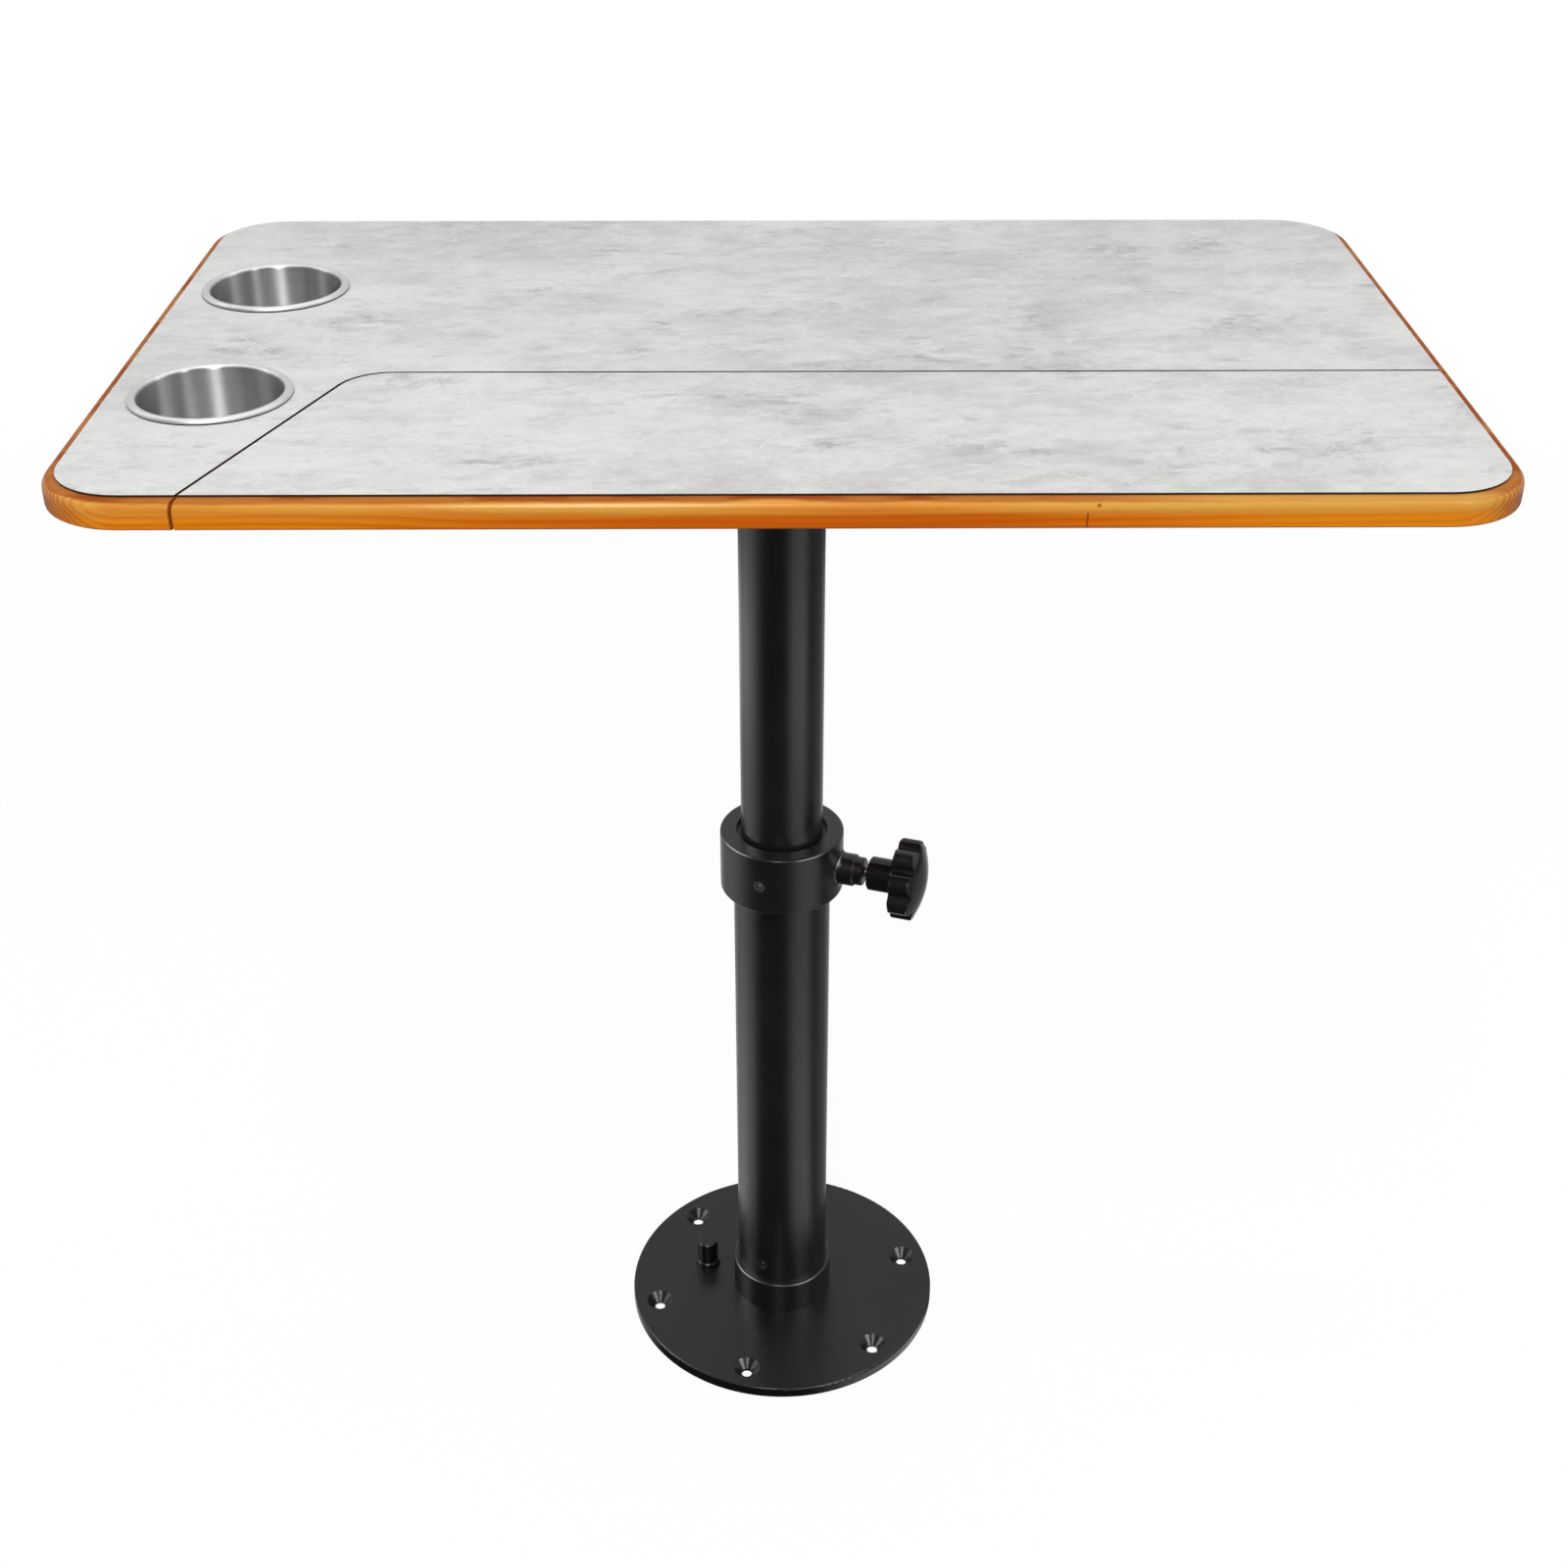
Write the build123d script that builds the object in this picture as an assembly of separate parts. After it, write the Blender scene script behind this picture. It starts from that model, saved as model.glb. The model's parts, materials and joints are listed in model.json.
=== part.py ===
from build123d import *
import math
import os

# A camper table: a two-piece top with a drop leaf and two cup holders, on one telescopic pole.
# Millimetres, +Z up, X to the right, Y to the rear. The origin is on the floor, on the pole's axis.

# Tabletop
TOP_HEIGHT = 720.0
TOP_WIDTH = 646.0
REAR_DEPTH = 256.0
POLE_FROM_SEAM = 125.5
CORNER_RADIUS = 40.0
BOARD_THICKNESS = 13.0
LAMINATE_THICKNESS = 1.0
LAMINATE_INSET = 6.1
EDGE_TOP_RADIUS = 5.0
EDGE_BOTTOM_RADIUS = 1.5
EDGE_TOP_SHARE = 0.45
EDGE_BOTTOM_SHARE = 0.5

# Seam between the main board and the drop leaf
LEAF_DEPTH = 153.0
SEAM_GAP = 1.6
SEAM_FROM_LEFT = 63.7
SEAM_ANGLE = 19.7
SEAM_CORNER_RADIUS = 25.0

# Cup holders
CUP_BORE = 68.0
CUP_WALL = 1.0
CUP_DEPTH = 50.0
CUP_ROLL_RADIUS = 2.25
CUP_RIM_SKIRT = 0.25
CUP_BASE_RADIUS = 8.0
CUP_FROM_LEFT = 54.5
CUP_FRONT_FROM_FRONT = 123.0
CUP_REAR_FROM_REAR = 130.0
CUP_HOLE_CLEARANCE = 0.5

# Pole
UPPER_TUBE_DIAMETER = 50.0
UPPER_TUBE_WALL = 2.0
BUSH_WALL = 3.0
LOWER_TUBE_WALL = 2.0
LOWER_TUBE_LENGTH = 369.0
COLUMN_RISE = 20.0

# Guide at the mouth of the lower tube and glide at the foot of the upper tube
GUIDE_LENGTH = 44.0
GUIDE_RECESS = 3.0
GLIDE_LENGTH = 30.0
PLUG_FLANGE = 4.0
PLUG_DEPTH = 15.0
PLUG_WALL = 6.0
RETAINER_WIDTH = 3.0
RETAINER_BITE = 0.8
RETAINER_GAP = 0.8
RETAINER_OPENING = 40.0

# Base plate and foot
PLATE_DIAMETER = 208.0
PLATE_THICKNESS = 7.0
PLATE_EDGE_RADIUS = 1.5
FLOOR_HOLE_FROM_EDGE = 16.5
FLOOR_HOLE_COUNT = 6
FLOOR_HOLE_START = 14.0
FLOOR_HOLE_RADIUS = 3.5
FLOOR_HOLE_HEAD_RADIUS = 8.75
SPIGOT_HEIGHT = 48.0
SPIGOT_WALL = 6.0
SPIGOT_CHAMFER = 1.5
TRIM_RING_WALL = 3.3
TRIM_RING_HEIGHT = 24.0
PEG_RADIUS = 7.0
PEG_HEIGHT = 20.0
PEG_CHAMFER = 0.7
PEG_FOOT_RADIUS = 8.5
PEG_FOOT_HEIGHT = 4.0
PEG_FOOT_CHAMFER = 0.75
PEG_DISTANCE = 55.0
PEG_ANGLE = 162.0

# Clamp collar
COLLAR_WALL = 8.0
COLLAR_HEIGHT = 39.5
COLLAR_LIP = 5.0
COLLAR_EDGE_RADIUS = 1.5
BOSS_RADIUS = 10.0
BOSS_LENGTH = 15.2
BOSS_NOSE_RADIUS = 8.8
BOSS_NOSE_LENGTH = 5.3
BOSS_FILLET = 3.0
BOSS_MARGIN = 4.7
BOSS_CHAMFER = 0.9
CLAMP_ANGLE = -18.0

# Set screws
SET_SCREW_RADIUS = 4.0
SET_SCREW_HEX = 4.0
SET_SCREW_RECESS = 0.4
SET_SCREW_CHAMFER = 0.8
SOCKET_DEPTH = 3.0
COLLAR_SCREW_ANGLE = -112.0
COLLAR_SCREW_DROP = 20.0
FOOT_SCREW_ANGLE = -118.0
FOOT_SCREW_DROP = 10.0
FLANGE_SCREW_ANGLE = 90.0
FLANGE_SCREW_RISE = 10.0
FLANGE_SCREW_PROUD = 0.8

# Clamp screw and star knob
STUD_RADIUS = 4.0
STUD_TIP_RADIUS = 2.5
STUD_IN_KNOB = 22.0
PAD_RADIUS = 6.0
PAD_THICKNESS = 5.7
PAD_GAP = 0.3
PAD_TRAVEL = 3.75
KNOB_GAP = 3.2
KNOB_HUB_RADIUS = 10.5
KNOB_HUB_LENGTH = 16.9
KNOB_HUB_CHAMFER = 1.0
KNOB_RADIUS = 25.0
KNOB_RIM_WIDTH = 13.2
KNOB_DOME = 5.5
KNOB_EDGE_RADIUS = 2.0
KNOB_LOBES = 8
KNOB_LOBE_RADIUS = 6.5
KNOB_VALLEY_DEPTH = 5.0
KNOB_VALLEY_FILLET = 1.5
KNOB_LOBE_START = 22.0

# Flange under the main board
FLANGE_RADIUS = 75.0
FLANGE_THICKNESS = 5.0
FLANGE_EDGE_RADIUS = 1.25
FLANGE_HUB_WALL = 5.0
FLANGE_HUB_LENGTH = 30.0
FLANGE_HUB_FILLET = 5.0
FLANGE_HOLE_FROM_EDGE = 13.0
FLANGE_HOLE_COUNT = 6
FLANGE_SCREW_RADIUS = 2.5
FLANGE_SCREW_HEAD_RADIUS = 5.0
FLANGE_SCREW_LENGTH = 16.0

# Hinges under the seam
HINGE_COUNT = 3
HINGE_LENGTH = 50.0
HINGE_WIDTH = 30.0
HINGE_PLATE = 2.5
HINGE_BARREL_RADIUS = 5.0
HINGE_PIN_RADIUS = 2.5
HINGE_PIN_HEAD = 1.5
HINGE_FROM_RIGHT = 40.0
HINGE_FROM_CORNER = 45.0
HINGE_CORNER_RADIUS = 4.0
HINGE_SCREW_INSET = 10.0

# Folding stays under the seam
STAY_FROM_HINGE = 65.0
STAY_ARM_SPAN = 62.0
STAY_ARM_GAP = 0.5
STAY_ARM_THICKNESS = 3.0
STAY_EAR_RADIUS = 6.0
STAY_EAR_THICKNESS = 2.5
STAY_PLATE_WIDTH = 25.0
STAY_PLATE_LENGTH = 32.0
STAY_RIVET_RADIUS = 2.5
STAY_RIVET_HEAD_GAP = 1.0
STAY_RIVET_HEAD = 1.5
STAY_SCREW_INSET = 6.0

# Wood screws of the hinges and stays
SMALL_SCREW_RADIUS = 1.75
SMALL_SCREW_HEAD_RADIUS = 3.5
SMALL_SCREW_LENGTH = 13.0
SCREW_POINT = 3.0

# Clearances: seated pieces, turning pieces, sliding pieces, and pieces that pass each other
SEAT = 0.02
RUN = 0.06
SLIDE = 0.08
PASS = 0.3

# Places that follow from the sizes above
TOP_DEPTH = REAR_DEPTH + LEAF_DEPTH
SEAM_Y = -POLE_FROM_SEAM
TOP_FRONT = SEAM_Y - LEAF_DEPTH
TOP_REAR = SEAM_Y + REAR_DEPTH
TOP_CENTRE_Y = (TOP_FRONT + TOP_REAR) / 2
TOP_LEFT = -TOP_WIDTH / 2
TOP_RIGHT = TOP_WIDTH / 2
LAMINATE_BOTTOM = TOP_HEIGHT - LAMINATE_THICKNESS
UNDERSIDE = LAMINATE_BOTTOM - BOARD_THICKNESS
HINGE_Z = UNDERSIDE - HINGE_BARREL_RADIUS
SEAM_SLANT = math.tan(math.radians(SEAM_ANGLE))
SEAM_CORNER_X = TOP_LEFT + SEAM_FROM_LEFT + LEAF_DEPTH * SEAM_SLANT

UPPER_RADIUS = UPPER_TUBE_DIAMETER / 2
UPPER_BORE_RADIUS = UPPER_RADIUS - UPPER_TUBE_WALL
LOWER_BORE_RADIUS = UPPER_RADIUS + BUSH_WALL
LOWER_RADIUS = LOWER_BORE_RADIUS + LOWER_TUBE_WALL
COLLAR_RADIUS = LOWER_RADIUS + COLLAR_WALL
PLATE_RADIUS = PLATE_DIAMETER / 2
PLATE_TOP = PLATE_THICKNESS
SPIGOT_TOP = PLATE_TOP + SPIGOT_HEIGHT
LOWER_TUBE_TOP = PLATE_TOP + LOWER_TUBE_LENGTH
COLLAR_TOP = LOWER_TUBE_TOP + COLLAR_LIP
COLLAR_BOTTOM = COLLAR_TOP - COLLAR_HEIGHT
GUIDE_TOP = COLLAR_TOP - GUIDE_RECESS
GUIDE_BOTTOM = GUIDE_TOP - GUIDE_LENGTH
RETAINER_TOP = GUIDE_BOTTOM - COLUMN_RISE
RETAINER_BOTTOM = RETAINER_TOP - RETAINER_WIDTH
GLIDE_TOP = RETAINER_BOTTOM - PASS
GLIDE_BOTTOM = GLIDE_TOP - GLIDE_LENGTH
UPPER_TUBE_BOTTOM = GLIDE_BOTTOM - PASS
FLANGE_BOTTOM = UNDERSIDE - FLANGE_THICKNESS
FLANGE_HUB_RADIUS = UPPER_RADIUS + FLANGE_HUB_WALL
FLANGE_HUB_BOTTOM = FLANGE_BOTTOM - FLANGE_HUB_LENGTH

# The clamp screw runs outwards from the pole's axis, through the boss, into the knob
CLAMP_Z = COLLAR_BOTTOM + BOSS_MARGIN + BOSS_FILLET + BOSS_RADIUS
BOSS_END = COLLAR_RADIUS + BOSS_LENGTH
PAD_FACE = UPPER_RADIUS + PAD_GAP
PAD_BACK = PAD_FACE + PAD_THICKNESS
PAD_CHAMBER = PAD_BACK + PAD_TRAVEL + PASS
KNOB_START = BOSS_END + KNOB_GAP
KNOB_RIM_START = KNOB_START + KNOB_HUB_LENGTH
KNOB_RIM_END = KNOB_RIM_START + KNOB_RIM_WIDTH

# The hinges share the straight seam, with a stay beside each outer one
HINGE_RIGHT = TOP_RIGHT - HINGE_FROM_RIGHT
HINGE_LEFT = SEAM_CORNER_X + HINGE_FROM_CORNER
HINGE_PITCH = (HINGE_RIGHT - HINGE_LEFT) / (HINGE_COUNT - 1)
HINGE_PLACES = [HINGE_RIGHT - HINGE_PITCH * i for i in range(HINGE_COUNT)]
STAY_PLACES = {"right": HINGE_RIGHT - STAY_FROM_HINGE, "left": HINGE_LEFT + STAY_FROM_HINGE}
STAY_ARM_HEIGHT = 2 * (HINGE_BARREL_RADIUS - STAY_ARM_GAP)
STAY_RIVET_HEAD_RADIUS = HINGE_BARREL_RADIUS - STAY_RIVET_HEAD_GAP


def rod(radius, start, end):
    """A round bar along Z."""
    return Pos(0, 0, start) * extrude(Circle(radius), end - start)


def pipe(outer_radius, inner_radius, start, end):
    """A straight tube along Z."""
    return Pos(0, 0, start) * extrude(Circle(outer_radius) - Circle(inner_radius), end - start)


def turned(*points):
    """A solid of revolution about Z, from the (radius, height) corners of its half section."""
    outline = Polyline(*[(radius, 0, height) for radius, height in points], close=True)
    return revolve(make_face(outline), Axis.Z)


def radial(angle, height):
    """The frame whose Z runs outwards from the pole's axis at an angle in plan."""
    outwards = Vector(1, 0, 0).rotate(Axis.Z, angle)
    return Plane(origin=(0, 0, height), x_dir=(0, 0, 1), z_dir=outwards).location


def clamp_frame():
    """The clamp screw's frame."""
    return radial(CLAMP_ANGLE, CLAMP_Z)


def foot_screw_frame():
    """The frame of the set screw in the lower tube's foot."""
    return radial(FOOT_SCREW_ANGLE, SPIGOT_TOP - FOOT_SCREW_DROP)


def collar_screw_frame():
    """The frame of the set screw in the clamp collar."""
    return radial(COLLAR_SCREW_ANGLE, COLLAR_TOP - COLLAR_SCREW_DROP)


def flange_screw_frame():
    """The frame of the set screw in the flange's hub."""
    return radial(FLANGE_SCREW_ANGLE, FLANGE_HUB_BOTTOM + FLANGE_SCREW_RISE)


def along_x(start, end, y, z):
    """The frame and length of a round piece that lies along X."""
    return Plane(origin=(start, y, z), x_dir=(0, 1, 0), z_dir=(1, 0, 0)).location, end - start


def wood_screw(radius, head_radius, length):
    """A countersunk screw that points up, with the top of its head at height 0."""
    head = head_radius - radius
    return turned(
        (0, 0), (head_radius, 0), (radius, head), (radius, length - SCREW_POINT), (0, length)
    )


def screw_hole(radius, head_radius, length):
    """The hole that such a screw fills, a seat's clearance wider and deeper."""
    head = head_radius - radius
    mouth = head_radius + 2 * SEAT
    bore = radius + SEAT
    return turned((0, -SEAT), (mouth, -SEAT), (bore, head), (bore, length), (0, length + SEAT))


def set_screw(start, end):
    """A headless screw along Z with a hexagon socket in its outer end."""
    body = rod(SET_SCREW_RADIUS - SEAT, start, end)
    body = chamfer(body.edges().group_by(Axis.Z)[0], SET_SCREW_CHAMFER)
    hexagon = RegularPolygon(SET_SCREW_HEX / 2, 6, major_radius=False)
    return body - Pos(0, 0, end - SOCKET_DEPTH) * extrude(hexagon, SOCKET_DEPTH)


def board_blank():
    """The whole top in wood: a rounded rectangle whose outer edge is rounded over above and below."""
    outline = RectangleRounded(TOP_WIDTH, TOP_DEPTH, CORNER_RADIUS)
    blank = Pos(0, TOP_CENTRE_Y, UNDERSIDE) * extrude(outline, BOARD_THICKNESS)
    upper = min(EDGE_TOP_RADIUS, EDGE_TOP_SHARE * BOARD_THICKNESS)
    lower = min(EDGE_BOTTOM_RADIUS, EDGE_BOTTOM_SHARE * BOARD_THICKNESS)
    blank = fillet(blank.edges().group_by(Axis.Z)[-1], upper)
    return fillet(blank.edges().group_by(Axis.Z)[0], lower)


def laminate_blank():
    """The whole sheet of laminate, set in from the rounded edge."""
    width = TOP_WIDTH - 2 * LAMINATE_INSET
    depth = TOP_DEPTH - 2 * LAMINATE_INSET
    outline = RectangleRounded(width, depth, CORNER_RADIUS - LAMINATE_INSET)
    return Pos(0, TOP_CENTRE_Y, LAMINATE_BOTTOM) * extrude(outline, LAMINATE_THICKNESS)


def leaf_zone(margin):
    """A prism over the leaf's plan: straight seam, rounded corner, slanted left end, open elsewhere."""
    beyond = LEAF_DEPTH
    front_y = TOP_FRONT - beyond
    right_x = TOP_RIGHT + beyond
    slant_end_x = SEAM_CORNER_X - (LEAF_DEPTH + beyond) * SEAM_SLANT
    outline = Polygon(
        (SEAM_CORNER_X, SEAM_Y), (slant_end_x, front_y), (right_x, front_y), (right_x, SEAM_Y), align=None
    )
    corner = outline.vertices().sort_by_distance((SEAM_CORNER_X, SEAM_Y, 0))[0]
    outline = fillet(corner, SEAM_CORNER_RADIUS)
    outline = offset(outline, margin)
    return Pos(0, 0, UNDERSIDE - BOARD_THICKNESS) * extrude(outline, 3 * BOARD_THICKNESS)


def cup_centres():
    """The middles of the front and the rear cup holder."""
    x = TOP_LEFT + CUP_FROM_LEFT
    return [(x, TOP_FRONT + CUP_FRONT_FROM_FRONT), (x, TOP_REAR - CUP_REAR_FROM_REAR)]


def cup_holes():
    """The two round holes through the main board and its laminate."""
    radius = CUP_BORE / 2 + CUP_WALL + CUP_HOLE_CLEARANCE
    hole = rod(radius, UNDERSIDE - BOARD_THICKNESS, TOP_HEIGHT + BOARD_THICKNESS)
    return [Pos(x, y, 0) * hole for x, y in cup_centres()]


def flange_screw_places():
    """The screws that hold the flange to the main board."""
    circle = PolarLocations(FLANGE_RADIUS - FLANGE_HOLE_FROM_EDGE, FLANGE_HOLE_COUNT)
    return [Pos(0, 0, FLANGE_BOTTOM) * place for place in circle]


def hinge_screw_places(side):
    """The screws of every hinge on one side of the seam: +1 on the main board, -1 on the leaf."""
    y = SEAM_Y + side * (HINGE_WIDTH - HINGE_SCREW_INSET)
    reach = HINGE_LENGTH / 2 - HINGE_SCREW_INSET
    z = UNDERSIDE - HINGE_PLATE
    return [Pos(x + end * reach, y, z) for x in HINGE_PLACES for end in (-1, 1)]


def stay_screw_places(side):
    """The screws of both stay brackets on one side of the seam."""
    y = SEAM_Y + side * STAY_ARM_SPAN
    reach = STAY_PLATE_LENGTH / 2 - STAY_SCREW_INSET
    x_shift = -side * (PASS / 2 + STAY_PLATE_WIDTH - STAY_SCREW_INSET)
    z = UNDERSIDE - STAY_EAR_THICKNESS
    return [Pos(x + x_shift, y + end * reach, z) for x in STAY_PLACES.values() for end in (-1, 1)]


def small_holes(places):
    """The pilot holes and countersinks of the small wood screws."""
    tool = screw_hole(SMALL_SCREW_RADIUS, SMALL_SCREW_HEAD_RADIUS, SMALL_SCREW_LENGTH)
    return [place * tool for place in places]


def small_screws(places):
    """The small wood screws themselves."""
    screw = wood_screw(SMALL_SCREW_RADIUS, SMALL_SCREW_HEAD_RADIUS, SMALL_SCREW_LENGTH)
    return Compound([place * screw for place in places])


def flange_holes():
    """The holes of the flange's screws, through the flange and into the board."""
    tool = screw_hole(FLANGE_SCREW_RADIUS, FLANGE_SCREW_HEAD_RADIUS, FLANGE_SCREW_LENGTH)
    return [place * tool for place in flange_screw_places()]


def flange_screws():
    """The six wood screws of the flange."""
    screw = wood_screw(FLANGE_SCREW_RADIUS, FLANGE_SCREW_HEAD_RADIUS, FLANGE_SCREW_LENGTH)
    return Compound([place * screw for place in flange_screw_places()])


def main_board():
    """The L-shaped board over the pole, with the cup holes."""
    board = board_blank() - leaf_zone(SEAM_GAP / 2) - cup_holes()
    pilots = flange_holes() + small_holes(hinge_screw_places(1)) + small_holes(stay_screw_places(1))
    return board - pilots


def leaf_board():
    """The drop leaf."""
    board = board_blank() & leaf_zone(-SEAM_GAP / 2)
    return board - small_holes(hinge_screw_places(-1)) - small_holes(stay_screw_places(-1))


def main_laminate():
    """The laminate on the main board."""
    return laminate_blank() - leaf_zone(SEAM_GAP / 2) - cup_holes()


def leaf_laminate():
    """The laminate on the leaf."""
    return laminate_blank() & leaf_zone(-SEAM_GAP / 2)


def cup_holder(centre):
    """A drawn steel cup whose rolled rim rests on the laminate."""
    inner = CUP_BORE / 2
    outer = inner + CUP_WALL
    roll = CUP_ROLL_RADIUS
    tuck = roll - CUP_WALL
    middle = inner + roll
    shoulder = TOP_HEIGHT + CUP_RIM_SKIRT
    floor = TOP_HEIGHT - CUP_DEPTH
    bend = CUP_BASE_RADIUS
    lines = [
        Line((0, floor), (outer - bend, floor)),
        CenterArc((outer - bend, floor + bend), bend, 270, 90),
        Line((outer, floor + bend), (outer, shoulder)),
        CenterArc((middle, shoulder), tuck, 180, -180),
        Line((middle + tuck, shoulder), (middle + tuck, TOP_HEIGHT)),
        Line((middle + tuck, TOP_HEIGHT), (middle + roll, TOP_HEIGHT)),
        Line((middle + roll, TOP_HEIGHT), (middle + roll, shoulder)),
        CenterArc((middle, shoulder), roll, 0, 180),
        Line((inner, shoulder), (inner, floor + bend)),
        CenterArc((outer - bend, floor + bend), bend - CUP_WALL, 0, -90),
        Line((outer - bend, floor + CUP_WALL), (0, floor + CUP_WALL)),
        Line((0, floor + CUP_WALL), (0, floor)),
    ]
    section = Plane.XZ * make_face(lines)
    return Pos(centre[0], centre[1], 0) * revolve(section, Axis.Z)


def base_plate():
    """The round floor plate with its ring of countersunk holes."""
    plate = rod(PLATE_RADIUS, 0, PLATE_TOP)
    plate = fillet(plate.edges().group_by(Axis.Z)[-1], PLATE_EDGE_RADIUS)
    sink = FLOOR_HOLE_HEAD_RADIUS - FLOOR_HOLE_RADIUS
    hole = turned(
        (0, 0),
        (FLOOR_HOLE_RADIUS, 0),
        (FLOOR_HOLE_RADIUS, PLATE_TOP - sink),
        (FLOOR_HOLE_HEAD_RADIUS, PLATE_TOP),
        (0, PLATE_TOP),
    )
    circle = PLATE_RADIUS - FLOOR_HOLE_FROM_EDGE
    places = PolarLocations(circle, FLOOR_HOLE_COUNT, start_angle=FLOOR_HOLE_START)
    return plate - [place * hole for place in places]


def tube_spigot():
    """The stub on the plate that the lower tube stands over."""
    radius = LOWER_BORE_RADIUS - SEAT
    stub = pipe(radius, radius - SPIGOT_WALL, PLATE_TOP, SPIGOT_TOP)
    stub = chamfer(stub.edges().group_by(Axis.Z)[-1].sort_by(SortBy.LENGTH)[-1], SPIGOT_CHAMFER)
    return stub - foot_screw_frame() * rod(SET_SCREW_RADIUS, 0, LOWER_RADIUS)


def base_trim_ring():
    """The short ring round the tube's foot, rounded over at its top."""
    inner = LOWER_RADIUS + SEAT
    ring = pipe(inner + TRIM_RING_WALL, inner, PLATE_TOP, PLATE_TOP + TRIM_RING_HEIGHT)
    return fillet(ring.edges().group_by(Axis.Z)[-1].sort_by(SortBy.LENGTH)[-1], TRIM_RING_WALL / 2)


def base_peg():
    """The short peg that stands on the plate beside the foot."""
    peg = rod(PEG_RADIUS, PLATE_TOP, PLATE_TOP + PEG_HEIGHT)
    peg = chamfer(peg.edges().group_by(Axis.Z)[-1], PEG_CHAMFER)
    foot = rod(PEG_FOOT_RADIUS, PLATE_TOP, PLATE_TOP + PEG_FOOT_HEIGHT)
    foot = chamfer(foot.edges().group_by(Axis.Z)[-1], PEG_FOOT_CHAMFER)
    return Rot(0, 0, PEG_ANGLE) * Pos(PEG_DISTANCE, 0, 0) * (peg + foot)


def foot_set_screw():
    """The set screw through the tube's foot into the spigot."""
    screw = set_screw(LOWER_BORE_RADIUS - SPIGOT_WALL, LOWER_RADIUS - SET_SCREW_RECESS)
    return foot_screw_frame() * screw


def clamp_passage():
    """The way of the clamp screw: a wide chamber for the pad, then the thread's bore."""
    chamber = rod(PAD_RADIUS + PASS, UPPER_RADIUS / 2, PAD_CHAMBER)
    bore = rod(STUD_RADIUS + RUN, UPPER_RADIUS / 2, BOSS_END + BOSS_LENGTH)
    return clamp_frame() * (chamber + bore)


def lower_tube():
    """The fixed tube, with the holes of its set screws and of the clamp."""
    tube = pipe(LOWER_RADIUS, LOWER_BORE_RADIUS, PLATE_TOP, LOWER_TUBE_TOP)
    foot_hole = foot_screw_frame() * rod(SET_SCREW_RADIUS, 0, COLLAR_RADIUS)
    return tube - foot_hole - clamp_passage()


def clamp_collar():
    """The collar over the tube's mouth, with an inner lip and a stepped boss on a flared root."""
    body = rod(COLLAR_RADIUS, COLLAR_BOTTOM, COLLAR_TOP)
    body = fillet(body.edges().group_by(Axis.Z)[-1], COLLAR_EDGE_RADIUS)
    body = fillet(body.edges().group_by(Axis.Z)[0], COLLAR_EDGE_RADIUS)
    boss = rod(BOSS_RADIUS, LOWER_RADIUS, BOSS_END - BOSS_NOSE_LENGTH)
    boss = chamfer(boss.edges().group_by(Axis.Z)[-1], BOSS_CHAMFER)
    nose = rod(BOSS_NOSE_RADIUS, LOWER_RADIUS, BOSS_END)
    nose = chamfer(nose.edges().group_by(Axis.Z)[-1], BOSS_CHAMFER)
    body = body + clamp_frame() * (boss + nose)
    middle = clamp_frame() * Pos(0, 0, COLLAR_RADIUS)
    root = body.edges().filter_by(GeomType.BSPLINE).sort_by_distance(middle.position)[0]
    body = fillet(root, BOSS_FILLET)
    body = body - rod(LOWER_RADIUS + SEAT, COLLAR_BOTTOM, LOWER_TUBE_TOP)
    body = body - rod(LOWER_BORE_RADIUS, COLLAR_BOTTOM, COLLAR_TOP)
    screw_way = collar_screw_frame() * rod(SET_SCREW_RADIUS, 0, 2 * COLLAR_RADIUS)
    return body - screw_way - clamp_passage()


def collar_set_screw():
    """The set screw that holds the collar on the lower tube."""
    screw = set_screw(LOWER_RADIUS + SEAT, COLLAR_RADIUS - SET_SCREW_RECESS)
    return collar_screw_frame() * screw - rod(LOWER_RADIUS + SEAT, 0, COLLAR_TOP)


def guide_bush():
    """The plastic sleeve in the tube's mouth that the upper tube slides and turns in."""
    sleeve = pipe(LOWER_BORE_RADIUS - SEAT, UPPER_RADIUS + SLIDE, GUIDE_BOTTOM, GUIDE_TOP)
    return sleeve - clamp_passage()


def glide_bush():
    """The plastic glide round the foot of the upper tube, which slides in the lower tube."""
    return pipe(LOWER_BORE_RADIUS - SLIDE, UPPER_RADIUS + RUN, GLIDE_BOTTOM, GLIDE_TOP)


def retainer_groove(clearance):
    """The groove's floor radius and height band, widened by a clearance."""
    floor = UPPER_RADIUS - RETAINER_BITE - clearance
    return floor, RETAINER_BOTTOM - clearance, RETAINER_TOP + clearance


def upper_tube():
    """The sliding tube, with the groove of its retaining ring."""
    tube = pipe(UPPER_RADIUS, UPPER_BORE_RADIUS, UPPER_TUBE_BOTTOM, FLANGE_BOTTOM)
    floor, low, high = retainer_groove(SEAT)
    return tube - pipe(LOWER_RADIUS, floor, low, high)


def foot_plug():
    """The plug in the upper tube's foot, whose flange carries the glide."""
    spigot_radius = UPPER_BORE_RADIUS - SEAT
    flange_radius = LOWER_BORE_RADIUS - PASS
    bottom = UPPER_TUBE_BOTTOM - PLUG_FLANGE
    bore = UPPER_BORE_RADIUS - PLUG_WALL
    return turned(
        (bore, bottom),
        (flange_radius, bottom),
        (flange_radius, UPPER_TUBE_BOTTOM),
        (spigot_radius, UPPER_TUBE_BOTTOM),
        (spigot_radius, UPPER_TUBE_BOTTOM + PLUG_DEPTH),
        (bore, UPPER_TUBE_BOTTOM + PLUG_DEPTH),
    )


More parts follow.
